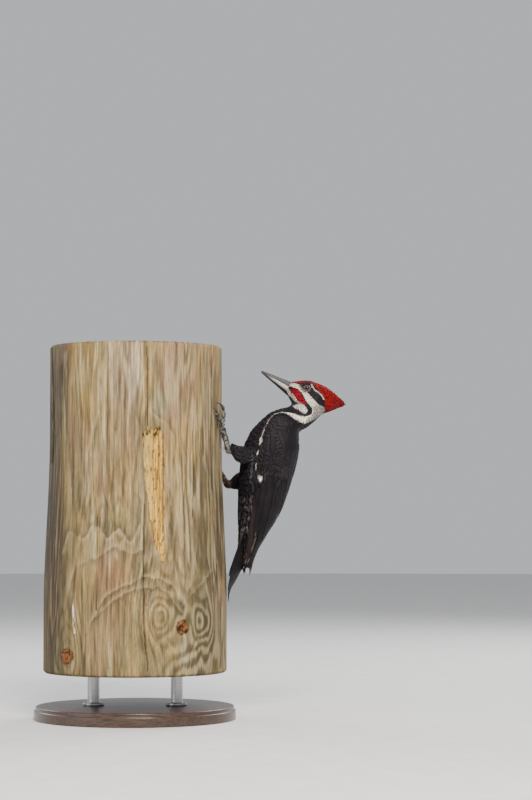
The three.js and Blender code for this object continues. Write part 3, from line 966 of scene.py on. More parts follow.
LIES = (
    Lie(233, 500, 0.95, 0.25, 3.4, 1.5, 0.7),  # forehead
    Lie(250, 505, 1.0, 0.0, 6.0, 2.0, 1.2),  # crown
    Lie(262, 503, 0.95, -0.2, 8.0, 2.2, 1.5),
    Lie(274, 496, 0.85, -0.5, 10.0, 2.4, 1.7),
    Lie(290, 482, 0.82, -0.55, 12.0, 2.3, 1.4),  # crest
    Lie(303, 473, 0.85, -0.5, 11.0, 2.0, 0.8),
    Lie(300, 466, 0.95, 0.1, 10.0, 1.9, 0.8),
    Lie(285, 461, 0.95, 0.2, 9.0, 2.0, 1.2),
    Lie(238, 494, 0.9, -0.4, 2.8, 1.3, 0.7),  # lores
    Lie(248, 484, 0.85, -0.53, 4.2, 1.7, 1.0),  # cheek
    Lie(262, 478, 0.8, -0.6, 5.5, 2.1, 1.2),
    Lie(240, 476, 0.72, -0.7, 4.6, 1.8, 1.0),  # moustache
    Lie(231, 480, 0.75, -0.66, 4.0, 1.6, 0.8),  # chin
    Lie(240, 466, 0.3, -0.95, 5.5, 2.2, 1.2),  # throat
    Lie(274, 462, 0.35, -0.93, 7.5, 2.7, 1.6),  # nape
    Lie(258, 455, -0.2, -0.97, 8.5, 3.2, 2.0),  # neck
    Lie(268, 446, -0.6, -0.8, 10.0, 3.8, 2.2),
    Lie(242, 455, -0.75, -0.66, 9.0, 3.4, 2.0),
    Lie(228, 462, -0.92, -0.4, 10.0, 3.6, 2.0),
    Lie(245, 438, -0.5, -0.86, 12.0, 4.6, 2.4),
    Lie(215, 455, -0.85, -0.52, 11.0, 4.4, 2.2),
    Lie(203, 452, -0.75, -0.66, 12.0, 5.0, 2.6),  # breast
    Lie(178, 430, -0.62, -0.78, 14.0, 6.0, 3.0),
    Lie(163, 408, -0.3, -0.95, 15.0, 6.4, 3.0),
    Lie(157, 380, -0.1, -1.0, 16.0, 6.8, 3.0),  # belly
    Lie(155, 340, 0.0, -1.0, 17.0, 7.2, 3.0),
    Lie(154, 300, 0.0, -1.0, 17.0, 7.0, 2.8),
    Lie(155, 268, -0.05, -1.0, 17.0, 6.0, 2.2),
    Lie(152, 245, -0.35, -0.93, 18.0, 5.4, 1.6),
    Lie(225, 435, -0.55, -0.84, 10.0, 5.0, 2.2),  # shoulder
    Lie(208, 432, -0.45, -0.9, 10.0, 5.2, 2.4),
    Lie(196, 415, -0.25, -0.97, 11.0, 5.6, 2.6),
    Lie(215, 405, -0.3, -0.95, 12.0, 6.2, 2.8),
    Lie(250, 420, -0.3, -0.95, 13.0, 6.4, 2.6),  # mantle
    Lie(246, 400, -0.1, -0.99, 15.0, 7.2, 2.8),
    Lie(240, 370, -0.3, -0.95, 16.0, 7.6, 2.8),
    Lie(225, 330, -0.45, -0.89, 17.0, 7.6, 2.6),
    Lie(205, 290, -0.5, -0.87, 17.0, 7.0, 2.4),
    Lie(188, 262, -0.42, -0.91, 17.0, 6.4, 2.0),
)
THIGH_LIE = Lie(160, 380, -0.93, 0.25, 10.0, 3.6, 2.2)


@dataclass
class Skin:
    """One closed skin under the whole coat, inside the flesh of the solids."""

    flesh: tuple[str, ...] = (
        "trunk", "neck", "head", "crest", "wing_left", "wing_right", "thigh_left", "thigh_right",
    )
    fillers: tuple[str, ...] = ("eye_left", "eye_right")  # closes the sockets
    voxel: float = 1.35
    overlap: float = 0.45  # how far the solids are grown to meet
    smoothing: int = 7
    reach: float = 15.0  # how far one Lie carries
    thinnest: float = 0.3  # the most of the local thickness that the coat may take
    thickest: float = 60.0  # no more of the thickness than this is looked for

    def build(self, plumage: Plumage) -> None:
        """Makes the skin, what it carries for the coat, and its unwrap.

        Args:
            plumage: The colours.
        """
        mesh = self.joined()
        self.points = self.smoothed(mesh, vertices_of(mesh), self.smoothing)
        self.write_points(mesh, self.points)
        self.normals = unit(self.smoothed(mesh, normals_of(mesh), 3))
        self.polygons = [tuple(p.vertices) for p in mesh.polygons]
        outer = BVHTree.FromPolygons(self.points.tolist(), self.polygons)
        self.find_parts()
        self.settle_lie()
        depth = np.minimum(self.depth + self.overlap, self.thinnest * self.thickness(outer))
        self.inset = self.smoothed(mesh, depth[:, None], 4)[:, 0]
        self.points = self.smoothed(mesh, self.points - self.normals * self.inset[:, None], 2)
        self.write_points(mesh, self.points)
        self.normals = unit(self.smoothed(mesh, normals_of(mesh), 2))
        self.tree = BVHTree.FromPolygons(self.points.tolist(), self.polygons)
        self.flow = unit(self.flow - (self.flow * self.normals).sum(1, keepdims=True) * self.normals)
        self.flow = unit(self.smoothed(mesh, self.flow, 4))
        self.write_guides(mesh)
        self.piece = link(mesh, "skin")
        self.unwrap()
        tuft = np.full(len(self.points), 0.35)
        # The skin takes the plumage's colours at 0.7 of their brightness: painted shade for the gaps between feathers
        # where it shows.
        write_attribute(mesh, "plumage", plumage.tones(self.points, tuft) * np.array([0.7, 0.7, 0.7, 1]))
        write_attribute(mesh, "vane", self.points)
        mesh.shade_smooth()

    def joined(self) -> Mesh:
        """The solids of flesh joined by voxels into one closed mesh."""
        shape = Shape()
        for name in (*self.flesh, *self.fillers):
            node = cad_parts[name]
            build = bmesh.new()
            build.from_mesh(node.data)
            build.transform(node.matrix_world)
            bmesh.ops.remove_doubles(build, verts=build.verts, dist=1e-6)
            build.normal_update()
            points = np.array([v.co for v in build.verts]) / MM
            normals = np.array([v.normal for v in build.verts])
            faces = [[v.index for v in face.verts] for face in build.faces]
            shape.add(points + normals * self.overlap, faces)
            build.free()
        rough = shape.piece("skin_form")
        remesh = rough.modifiers.new("Join", "REMESH")
        remesh.mode = "VOXEL"
        remesh.voxel_size = self.voxel * MM
        return self.largest(plain_copy(rough, "skin"))

    @staticmethod
    def largest(mesh: Mesh) -> Mesh:
        """Rids a mesh of the small closed pockets that joining may leave.

        Args:
            mesh: The mesh.

        Returns:
            The same mesh.
        """
        build = bmesh.new()
        build.from_mesh(mesh)
        seen, islands = set(), []
        for start in build.verts:
            if start in seen:
                continue
            island, queue = [], [start]
            seen.add(start)
            while queue:
                vertex = queue.pop()
                island.append(vertex)
                for edge in vertex.link_edges:
                    other = edge.other_vert(vertex)
                    if other not in seen:
                        seen.add(other)
                        queue.append(other)
            islands.append(island)
        islands.sort(key=len)
        for island in islands[:-1]:
            bmesh.ops.delete(build, geom=island, context="VERTS")
        build.to_mesh(mesh)
        build.free()
        LOG.info("skin: kept the largest of %d closed surfaces", len(islands))
        return mesh

    @staticmethod
    def write_points(mesh: Mesh, points: np.ndarray) -> None:
        """Moves a mesh's vertices to points in millimetres."""
        mesh.vertices.foreach_set("co", (points * MM).astype(np.float32).ravel())
        mesh.update()

    def smoothed(self, mesh: Mesh, values: np.ndarray, rounds: int) -> np.ndarray:
        """Values averaged with their neighbours' along the mesh.

        Args:
            mesh: The mesh, for its edges.
            values: Rows of numbers, one for each vertex.
            rounds: How often.

        Returns:
            The averaged rows.
        """
        edges = np.empty(len(mesh.edges) * 2, np.int32)
        mesh.edges.foreach_get("vertices", edges)
        a, b = edges.reshape(-1, 2).T
        degree = np.maximum(np.bincount(np.concatenate([a, b]), minlength=len(values)), 1)
        for _ in range(rounds):
            around = [np.bincount(a, v[b], len(v)) + np.bincount(b, v[a], len(v)) for v in values.T]
            values = 0.5 * values + 0.5 * np.stack(around, axis=1) / degree[:, None]
        return values

    def find_parts(self) -> None:
        """Notes which solid each vertex is nearest to."""
        points, faces, owner = [], [], []
        for number, name in enumerate(self.flesh):
            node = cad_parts[name]
            first = len(points)
            points += [tuple(node.matrix_world @ v.co / MM) for v in node.data.vertices]
            faces += [tuple(first + i for i in p.vertices) for p in node.data.polygons]
            owner += [number] * len(node.data.polygons)
        tree = BVHTree.FromPolygons(points, faces)
        self.part = np.array([owner[tree.find_nearest(p)[2]] for p in self.points.tolist()])

    def on(self, *names: str) -> np.ndarray:
        """Which vertices are nearest to any of these solids."""
        return np.isin(self.part, [self.flesh.index(name) for name in names])

    def thickness(self, tree: BVHTree) -> np.ndarray:
        """How thick the form is under each vertex.

        Args:
            tree: The form's surface.

        Returns:
            One distance for each vertex.
        """
        out = np.full(len(self.points), self.thickest)
        for i, (point, normal) in enumerate(zip(self.points.tolist(), self.normals.tolist())):
            inward = -Vector(normal)
            hit = tree.ray_cast(Vector(point) + inward * 0.2, inward, self.thickest)
            if hit[3] is not None:
                out[i] = hit[3]
        return out

    def settle_lie(self) -> None:
        """Blends the notes on the coat over the whole skin."""
        x, z = self.points[:, 0], self.points[:, 2]
        table = np.array([astuple(lie) for lie in LIES])
        lie_x, lie_z = table[:, 0], table[:, 1]
        apart = (x[:, None] - lie_x) ** 2 + (z[:, None] - lie_z) ** 2
        # The notes on head and neck lie closer together, so each carries less far.
        spread = np.where((lie_x > 229) & (lie_z >= 445), 0.6, 1.0) * self.reach
        weight = np.exp(-apart / (2 * spread**2)) + TINY / (1 + apart)
        weight /= weight.sum(axis=1, keepdims=True)
        thigh = self.on("thigh_left", "thigh_right")[:, None]
        mixed = np.where(thigh, astuple(THIGH_LIE)[2:], weight @ table[:, 2:])
        self.flow = unit(np.stack([mixed[:, 0], np.zeros(len(x)), mixed[:, 1]], axis=1))
        self.length, self.width, self.depth = mixed[:, 2], mixed[:, 3], mixed[:, 4]
        from_eye = np.hypot(x - EYE[0], z - EYE[1])
        face = self.on("head")
        small = np.where(face, smoothstep(3.0, 15.0, from_eye) * 0.6 + 0.4, 1.0)
        self.length, self.width = self.length * small, self.width * small
        self.from_eye = np.where(face, from_eye, 99.0)

    def write_guides(self, mesh: Mesh) -> None:
        """Writes what the coat reads from the skin, and where each kind of feather grows.

        Args:
            mesh: The skin.
        """
        x, aside, z = self.points[:, 0], np.abs(self.points[:, 1]), self.points[:, 2]
        head, crest, trunk = self.on("head"), self.on("crest"), self.on("trunk")
        back = trunk & (self.normals[:, 0] > 0.1) & (z > 300)
        lids = smoothstep(5.2, 6.0, self.from_eye)
        # The face grows up to the bill and, beside it, a little past its base.
        ahead, over = 0.87 * (233 - x) + 0.493 * (z - 493), 0.493 * (x - 233) + 0.87 * (z - 493)
        horn = (aside / 7.6) ** 2 + (over / np.where(over > 0, 9.2, 12.6)) ** 2
        clear = smoothstep(6.0, 3.5, ahead) * ((horn > 1.0) | (ahead < 0.4))
        grows = {
            "face": head * lids * (z < 503.5) * clear,
            "crown": np.where(head, (z > 470) * smoothstep(496, 502, z), crest) * (x > 231),
            "neck": self.on("neck"),
            "belly": trunk & ~back,
            "mantle": back,
            "shoulder": self.on("wing_left", "wing_right"),
            "thigh": self.on("thigh_left", "thigh_right"),
        }
        for name, values in grows.items():
            soft = self.smoothed(mesh, values[:, None].astype(float), 3)[:, 0]
            grown = smoothstep(0.15, 0.6, soft) * (lids > 0.5)
            if name == "shoulder":
                grown *= smoothstep(362, 408, z + 46 * (Noise(31).at(self.points / 9, 2) - 0.5))
            write_attribute(mesh, f"grow_{name}", grown)
        guides = {
            "flow": self.flow, "outward": self.normals, "vane_length": self.length, "vane_width": self.width,
            "coat_depth": self.inset,
        }
        for name, values in guides.items():
            write_attribute(mesh, name, values)
        LOG.info("skin: %d vertices, %.0f mm deep at most", len(aside), self.inset.max())

    def unwrap(self) -> None:
        """Unwraps the skin's own shape into charts."""
        bpy.context.view_layer.objects.active = self.piece
        self.piece.select_set(True)
        self.piece.data.uv_layers.new(name="Unwrap")
        bpy.ops.object.mode_set(mode="EDIT")
        bpy.ops.mesh.select_all(action="SELECT")
        bpy.ops.uv.smart_project(angle_limit=math.radians(66), island_margin=0.002)
        bpy.ops.object.mode_set(mode="OBJECT")
        self.piece.select_set(False)


# ------------------------------------------------------------------ the coat of small feathers


@dataclass(frozen=True)
class Coat:
    """One kind of small feather: where it grows, how close and in what shape."""

    name: str
    region: str
    spacing: float
    columns: int = 2
    rows: int = 4
    seed: int = 1
    tilt: float = 0.03  # how it stands off the skin
    ruffle: float = 0.16  # how far it strays to either side
    cling: float = 1.0  # how closely it bends to the skin
    rise: float = 1.0  # share of the coat's depth at its tip
    lift: float = 0.15  # height of its root
    loose: float = 0.16  # how unevenly the tips stand
    arch: float = 0.05  # how far its middle stands over its edges, as a share of its width
    longer: float = 1.0
    wider: float = 1.0
    fringe: float = 0.05
    slot: str = "black_feather"


COATS = (
    Coat("coat_face", "face", 1.05, seed=3, ruffle=0.2, wider=0.85, fringe=0.1, slot="white_feather"),
    Coat(
        "coat_crown", "crown", 1.15, rows=5, seed=5, tilt=0.08, ruffle=0.2, cling=0.6, loose=0.3, longer=1.05,
        wider=0.7, fringe=0.12, slot="red_feather",
    ),
    Coat("coat_neck", "neck", 1.7, rows=5, seed=7, ruffle=0.18, wider=0.85, fringe=0.1),
    Coat("coat_breast", "belly", 1.95, columns=4, seed=11, rise=0.9, loose=0.5, wider=0.62, fringe=0.12),
    Coat(
        "coat_mantle", "mantle", 1.95, columns=4, seed=13, ruffle=0.1, rise=0.3, lift=0.9, loose=0.05, arch=0.01,
        longer=1.15, wider=0.6,
    ),
    Coat(
        "coat_shoulder", "shoulder", 1.9, columns=4, seed=17, ruffle=0.1, rise=0.22, lift=1.6, loose=0.04, arch=0.01,
        longer=1.25, wider=0.65,
    ),
    Coat("coat_thigh", "thigh", 1.7, rows=5, seed=19, ruffle=0.22, wider=0.85, fringe=0.12),
)


class CoatTree:
    """The Geometry Nodes tree that lays small feathers over a skin."""

    SIZES = ("tilt", "ruffle", "cling", "rise", "lift", "loose", "arch", "longer", "wider")
    SOCKETS = {
        "Vane": "Object", "Region": "String", "Spacing": "Float", "Seed": "Int",
        **{size.title(): "Float" for size in SIZES}, "Finish": "Material",
    }

    def __init__(self) -> None:
        """Writes the tree."""
        self.tree = bpy.data.node_groups.new("lay_vanes", "GeometryNodeTree")
        face = self.tree.interface
        face.new_socket("Skin", in_out="INPUT", socket_type="NodeSocketGeometry")
        self.sockets = {
            name: face.new_socket(name, in_out="INPUT", socket_type=f"NodeSocket{kind}").identifier
            for name, kind in self.SOCKETS.items()
        }
        face.new_socket("Coat", in_out="OUTPUT", socket_type="NodeSocketGeometry")
        self.write(Graph(self.tree))

    def write(self, graph: Graph) -> None:
        """Adds the nodes, from the skin to the realized coat.

        Args:
            graph: The tree to write in.
        """
        given = graph.add("NodeGroupInput").outputs
        skin = given["Skin"]
        spacing = graph.times(given["Spacing"], MM)
        # Enough tries that the spacing, not their number, decides how close the feathers stand.
        density = graph.math("DIVIDE", 3.2, graph.times(spacing, spacing))
        spread = graph.add(
            "GeometryNodeDistributePointsOnFaces",
            {
                "Mesh": skin,
                "Distance Min": spacing,
                "Density Max": density,
                "Density Factor": self.kept(graph, given["Region"], "FLOAT"),
                "Seed": given["Seed"],
            },
            distribute_method="POISSON",
        )
        here = graph.add("GeometryNodeInputPosition").outputs[0]
        points = self.keep(graph, spread.outputs["Points"], "root", here, "FLOAT_VECTOR")
        points = self.keep(graph, points, "tuft", self.random(graph, given["Seed"], 0.0, 1.0), "FLOAT")

        outward = self.kept(graph, "outward", "FLOAT_VECTOR")
        flow = self.kept(graph, "flow", "FLOAT_VECTOR")
        aside = graph.vector("CROSS_PRODUCT", outward, flow)
        swing = graph.times(self.random(graph, given["Seed"], -1.0, 1.0, 1), given["Ruffle"])
        aside, tilt = graph.vector("SCALE", aside, scale=swing), graph.vector("SCALE", outward, scale=given["Tilt"])
        turn = graph.add(
            "FunctionNodeAxesToRotation",
            {"Primary Axis": graph.vector("ADD", flow, graph.vector("ADD", aside, tilt)), "Secondary Axis": outward},
            primary_axis="Y",
            secondary_axis="Z",
        ).outputs[0]
        longer = graph.times(self.random(graph, given["Seed"], 0.82, 1.18, 2), given["Longer"])
        wider = graph.times(self.random(graph, given["Seed"], 0.86, 1.14, 3), given["Wider"])
        length = graph.times(self.kept(graph, "vane_length", "FLOAT"), graph.times(longer, MM))
        width = graph.times(self.kept(graph, "vane_width", "FLOAT"), graph.times(wider, MM))
        size = graph.add("ShaderNodeCombineXYZ", {0: width, 1: length, 2: width}).outputs[0]
        vane = graph.add("GeometryNodeObjectInfo", {"Object": given["Vane"]}).outputs["Geometry"]
        laid = graph.add(
            "GeometryNodeInstanceOnPoints", {"Points": points, "Instance": vane, "Rotation": turn, "Scale": size}
        ).outputs[0]
        coat = graph.add("GeometryNodeRealizeInstances", {0: laid}).outputs[0]

        foot = self.nearest(graph, skin, here, here)
        normal = self.nearest(graph, skin, outward, here)
        along, across = self.kept(graph, "along", "FLOAT"), self.kept(graph, "across", "FLOAT")
        climb = graph.times(self.kept(graph, "coat_depth", "FLOAT"), graph.times(along, given["Rise"]))
        loose = graph.math("MULTIPLY_ADD", self.kept(graph, "tuft", "FLOAT"), given["Loose"], 0.8)
        roof = graph.less(across, across)
        arch = graph.times(graph.times(roof, self.kept(graph, "vane_width", "FLOAT")), given["Arch"])
        body = graph.times(self.kept(graph, "up", "FLOAT"), 0.06)
        height = graph.times(graph.plus(graph.times(climb, loose), graph.plus(arch, body), given["Lift"]), MM)
        bent = graph.vector("ADD", foot, graph.vector("SCALE", normal, scale=height))
        held = graph.less(graph.less(given["Cling"]), along)
        place = graph.add(
            "ShaderNodeMix", {"Factor_Float": held, "A_Vector": here, "B_Vector": bent}, data_type="VECTOR"
        ).outputs[1]
        coat = graph.add("GeometryNodeSetPosition", {"Geometry": coat, "Position": place}).outputs[0]
        coat = graph.add("GeometryNodeSetMaterial", {"Geometry": coat, "Material": given["Finish"]}).outputs[0]
        graph.add("NodeGroupOutput", {0: coat})

    @staticmethod
    def kept(graph: Graph, name: object, kind: str) -> Socket:
        """An attribute by name, or by a socket that names it."""
        return graph.add("GeometryNodeInputNamedAttribute", {"Name": name}, data_type=kind).outputs[0]

    @staticmethod
    def keep(graph: Graph, points: Socket, name: str, value: Socket, kind: str) -> Socket:
        """Stores a value on points under a name."""
        inputs = {"Geometry": points, "Name": name, "Value": value}
        return graph.add("GeometryNodeStoreNamedAttribute", inputs, data_type=kind, domain="POINT").outputs[0]

    @staticmethod
    def random(graph: Graph, seed: Socket, low: float, high: float, more: int = 0) -> Socket:
        """A seeded random number for each point."""
        inputs = {"Min_001": low, "Max_001": high, "Seed": graph.plus(seed, 31.0 * more)}
        node = graph.add("FunctionNodeRandomValue", inputs, data_type="FLOAT")
        return graph.socket(node.outputs, "Value_001")

    @staticmethod
    def nearest(graph: Graph, skin: Socket, value: Socket, at: Socket) -> Socket:
        """A vector of the skin's, read at the point of it nearest to a position."""
        inputs = {"Mesh": skin, "Value": value, "Sample Position": at}
        return graph.add("GeometryNodeSampleNearestSurface", inputs, data_type="FLOAT_VECTOR").outputs[0]


class CoatMaker:
    """Lays each coat over the skin and colours it."""

    PATCH = 0.003  # size of a feather's patch on the bake's map

    def __init__(self, skin: Skin, plumage: Plumage) -> None:
        """Takes what the coats lie on and their colours."""
        self.skin = skin
        self.plumage = plumage
        self.laying = CoatTree()

    @staticmethod
    def vane(columns: int, rows: int, fringe: float) -> Piece:
        """One small feather of unit length and width: a thin closed leaf with a fringed tip.

        Args:
            columns: Cells across it.
            rows: Cells along it.
            fringe: How uneven its tip is.

        Returns:
            The feather, as an object at the origin.
        """
        along = np.linspace(0, 1, rows + 1) ** 0.85
        across = np.linspace(-1, 1, columns + 1)
        t, a = np.meshgrid(along, across, indexing="ij")
        half = (0.3 + 0.7 * smoothstep(0, 0.4, t)) * np.sqrt(
            np.clip(1 - np.clip((t - 0.5) / 0.54, 0, 1) ** 2.4, 0, 1)
        )
        uneven = fringe * np.where(np.arange(columns + 1) % 2, 1.0, -1.0)[None, :] * smoothstep(0.6, 1.0, t)
        top = np.stack([0.5 * a * half, t + uneven * (np.abs(a) < 0.9), np.zeros_like(t)], axis=-1)
        inner, faces = leaf_faces(t, a)
        points = np.vstack([top.reshape(-1, 3), top[inner]])
        shape = Shape()
        shape.add(
            points / MM,
            faces,
            along=np.concatenate([t.ravel(), t[inner]]),
            across=np.concatenate([a.ravel(), a[inner]]),
            up=np.concatenate([inner.ravel(), -np.ones(inner.sum())]),
        )
        leaf = shape.piece("vane")
        return leaf

    def lay(self, coat: Coat, finish: bpy.types.Material) -> Piece:
        """Lays one coat.

        Args:
            coat: Which.
            finish: Its material.

        Returns:
            The coat as one plain mesh.
        """
        leaf = self.vane(coat.columns, coat.rows, coat.fringe)
        carrier = link(self.skin.piece.data.copy(), f"{coat.name}_carrier")
        laying = carrier.modifiers.new("Lay", "NODES")
        laying.node_group = self.laying.tree
        values = {
            "Vane": leaf, "Region": f"grow_{coat.region}", "Spacing": coat.spacing, "Seed": coat.seed,
            **{size.title(): getattr(coat, size) for size in CoatTree.SIZES}, "Finish": finish,
        }
        for name, value in values.items():
            laying[self.laying.sockets[name]] = value
        mesh = plain_copy(carrier, coat.name)
        bpy.data.objects.remove(leaf)
        self.colour(mesh)
        piece = link(mesh, coat.name)
        settle(piece, finish, coat.slot)
        return piece

    def colour(self, mesh: Mesh) -> None:
        """Colours a coat, gives it the map for the bake and drops what it no longer needs.

        Args:
            mesh: The coat.
        """
        points = vertices_of(mesh)
        root = read_attribute(mesh, "root", 3) / MM
        tuft, along, across, length, width = (
            read_attribute(mesh, name, 1) for name in ("tuft", "along", "across", "vane_length", "vane_width")
        )
        chart = np.empty(len(points) * 2, np.float32)
        mesh.attributes["Unwrap"].data.foreach_get("vector", chart)
        chart = chart.reshape(-1, 2)
        middle = root + 0.86 * (points - root)
        write_attribute(mesh, "plumage", self.plumage.tones(middle, tuft))
        write_attribute(mesh, "vane", np.stack([across * width / 2, along * length, tuft * 40], axis=1))
        for name in [a.name for a in mesh.attributes if not (a.is_required or a.is_internal)]:
            if name in mesh.attributes and name not in ("plumage", "vane") and not name.startswith("."):
                mesh.attributes.remove(mesh.attributes[name])
        write_bake_map(mesh, chart + self.PATCH * np.stack([0.5 * across, along - 0.5], axis=1))
        mesh.shade_smooth()


# ------------------------------------------------------------------ wings and tail


@dataclass(frozen=True)
class QuillRow:
    """A row of flight feathers or large coverts, from the wing's front edge to the back.

    Places are (height, share of the way from the front edge to the back's midline).
    """

    roots: Line
    tips: Line
    half_widths: tuple[float, float]
    lift: float
    count: int
    pale_edge: float = 0.0
    pale_tip: float = 0.0
    point: float = 0.72  # where each feather starts to narrow, from root to tip


WING_ROWS = (
    QuillRow(  # primaries
        ((345, 0.04), (352, 0.16), (360, 0.34)),
        (
            (224, 0.04), (214.5, 0.1), (213.4, 0.2), (229, 0.33), (230, 0.46), (212.6, 0.64), (215.5, 0.7),
            (226, 0.76), (241, 0.82),
        ),
        (3.6, 5.6), 0.15, 9, 0.2, 1.0, 0.6,
    ),
    QuillRow(  # secondaries
        ((398, 0.08), (402, 0.3), (408, 0.6)),
        ((268, 0.36), (262, 0.55), (272, 0.74), (292, 0.88)),
        (6.6, 8.6), 0.75, 8, 0.1,
    ),
    # Tertials.
    QuillRow(((414, 0.56), (420, 0.84)), ((322, 0.78), (300, 0.92)), (9.0, 10.0), 1.25, 3, 0.14),
    # Primary coverts.
    QuillRow(((392, 0.04), (396, 0.14)), ((332, 0.03), (348, 0.18)), (3.6, 4.6), 0.95, 5, 0.08),
    # Greater coverts.
    QuillRow(
        ((418, 0.08), (430, 0.74)), ((372, 0.1), (364, 0.34), (374, 0.62), (386, 0.84)), (5.6, 7.0), 1.45, 9, 0.07
    ),
    # Median coverts.
    QuillRow(((430, 0.06), (442, 0.76)), ((396, 0.06), (392, 0.36), (404, 0.8)), (5.6, 6.6), 1.75, 10, 0.05),
)


@dataclass
class WingFace:
    """A folded wing's face, by height and by share of the way from its front edge to the back's midline."""

    skin: Skin
    side: Side
    front: Line = (
        (216, 453), (204, 445), (193.5, 431), (186, 415), (181.5, 400), (178.5, 381), (176, 358.5), (172.5, 334.5),
        (169, 313.5), (165.5, 292.5), (162.5, 268.5), (160, 247.5), (158.5, 229.5), (160.5, 214),
    )
    axis: Line = ((228, 450), (215, 425), (204, 400), (196, 365), (188, 325), (180, 285), (172, 250), (168, 220))
    low: float = 206.0
    high: float = 452.0
    pitch: float = 2.5  # millimetres between its rows
    across: int = 40
    # The folded tips, below what the skin shows: height, nearest and furthest x, half-width.
    tips: Line = (
        (208, 164.5, 169.8, 6.5), (212, 162.6, 171.2, 8.8), (222, 160.6, 174, 12), (237, 157.6, 177.2, 15),
        (254, 156.4, 184, 19.8),
        (272, 156.8, 196, 23.8), (296, 155.6, 209, 30.5),
    )

    def __post_init__(self) -> None:
        """Reads the face from the skin, row by row."""
        self.heights = np.arange(self.low, self.high, self.pitch)
        front, axis = np.array(self.front[::-1], float), np.array(self.axis[::-1], float)
        rows, tips = [], np.array(self.tips, float)
        for z in self.heights:
            edge_x = np.interp(z, front[:, 1], front[:, 0])
            centre = np.array([np.interp(z, axis[:, 1], axis[:, 0]), 1.2 * self.side.value, z])
            near, far, half = (np.interp(z, tips[:, 0], tips[:, k]) for k in (1, 2, 3))
            found, drawn = [], []
            for angle in np.linspace(0, math.radians(178), 130):
                way = Vector((math.cos(angle), self.side.value * math.sin(angle), 0))
                point = [
                    (near + far + (far - near) * way.x) / 2, half * way.y - 0.8 * self.side.value * abs(way.x), z
                ]
                if not drawn or drawn[-1][0] >= edge_x:
                    drawn.append(np.array(point))
                hit = self.skin.tree.ray_cast(Vector(centre) + way * 90, -way, 90)[0]
                if hit is not None and (not found or found[-1][0] >= edge_x):
                    found.append(np.array(hit))
            seen = float(smoothstep(264, 290, z))
            line = even_curve(np.array(drawn), self.across) * (1 - seen)
            if seen > 0:
                line = line + even_curve(np.array(found), self.across) * seen
            rows.append(line[::-1])
        grid = np.array(rows)
        grid[:, :, 2] = self.heights[:, None]
        for _ in range(3):
            grid[1:-1] = 0.5 * grid[1:-1] + 0.25 * (grid[:-2] + grid[2:])
            grid[:, 1:-1] = 0.5 * grid[:, 1:-1] + 0.25 * (grid[:, :-2] + grid[:, 2:])
        self.grid = grid
        self.girth = np.linalg.norm(np.diff(grid, axis=1), axis=2).sum(axis=1)
        normal = np.cross(np.gradient(grid, axis=0), np.gradient(grid, axis=1))
        outward = grid - np.stack(
            [np.interp(self.heights, axis[:, 1], axis[:, 0]), 0 * self.heights, self.heights], axis=1
        )[:, None]
        normal *= np.sign((normal * outward).sum(-1, keepdims=True))
        self.normals = unit(normal)

    def span(self, height: np.ndarray) -> np.ndarray:
        """The face's width at heights, in millimetres."""
        return np.interp(height, self.heights, self.girth)

    def at(self, height: np.ndarray, share: np.ndarray, lift: np.ndarray) -> np.ndarray:
        """Points over the face.

        Args:
            height: Heights; past an end the face runs straight on.
            share: Shares of the way across; held from 0 to 1.
            lift: Distances off the face.

        Returns:
            The points.
        """
        row = np.clip((height - self.heights[0]) / self.pitch, 0, len(self.heights) - 1.001)
        column = np.clip(share, 0, 1) * (self.across - 1.001)
        r, c = row.astype(int), column.astype(int)
        fr, fc = (row - r)[..., None], (column - c)[..., None]

        def read(grid: np.ndarray) -> np.ndarray:
            """The grid's value between four of its points."""
            low = grid[r, c] * (1 - fc) + grid[r, c + 1] * fc
            return low * (1 - fr) + (grid[r + 1, c] * (1 - fc) + grid[r + 1, c + 1] * fc) * fr

        point, normal = read(self.grid), unit(read(self.normals))
        point[..., 2] = height
        return point + normal * np.asarray(lift)[..., None]


class Ribbon:
    """Closed, thin feathers made from a grid of points, with a raised shaft."""

    COLUMNS = np.array([-1, -0.8, -0.45, -0.09, 0, 0.09, 0.45, 0.8, 1.0])

    @classmethod
    def add(
        cls, shape: Shape, surface: Callable[[np.ndarray, np.ndarray, float], np.ndarray],
        rows: int, length: float, half_width: float, number: int, total: int,
    ) -> None:
        """Adds one feather.

        Args:
            shape: What it is added to.
            surface: Gives points from shares along and across it and a height over its middle.
            rows: Cells along it.
            length: Its length, for its barbs.
            half_width: Half its width, for its barbs.
            number: Its place in the row on the bake's map.
            total: How many places the map has.
        """
        along = np.linspace(0, 1, rows + 1)
        t, a = np.meshgrid(along, cls.COLUMNS, indexing="ij")
        top, under = surface(t, a, 1.0), surface(t, a, -1.0)
        inner, faces = leaf_faces(t, a)
        points = np.vstack([top.reshape(-1, 3), under[inner]])
        t_all, a_all = np.concatenate([t.ravel(), t[inner]]), np.concatenate([a.ravel(), a[inner]])
        tuft = (number * 0.618) % 1.0
        place = np.stack([(number + 0.5 + 0.46 * a_all) / total, 0.02 + 0.46 * t_all], axis=1)
        place[t.size:, 1] += 0.5
        shape.add(
            points, faces,
            vane=np.stack([a_all * half_width, t_all * length, np.full(len(t_all), tuft * 40)], axis=1),
            across=a_all, along=t_all, tuft=np.full(len(t_all), tuft),
            map_u=place[:, 0], map_v=place[:, 1],
        )

    @staticmethod
    def outline(t: np.ndarray, point: float) -> np.ndarray:
        """A feather's half-width along it, from 0 to 1: point is how early its tip narrows."""
        root = 0.35 + 0.65 * smoothstep(0, 0.25, t)
        return root * np.clip(1 - np.clip((t - point) / (1.0 - point), 0, 1) ** 2.0, 0.0009, 1) ** 0.75


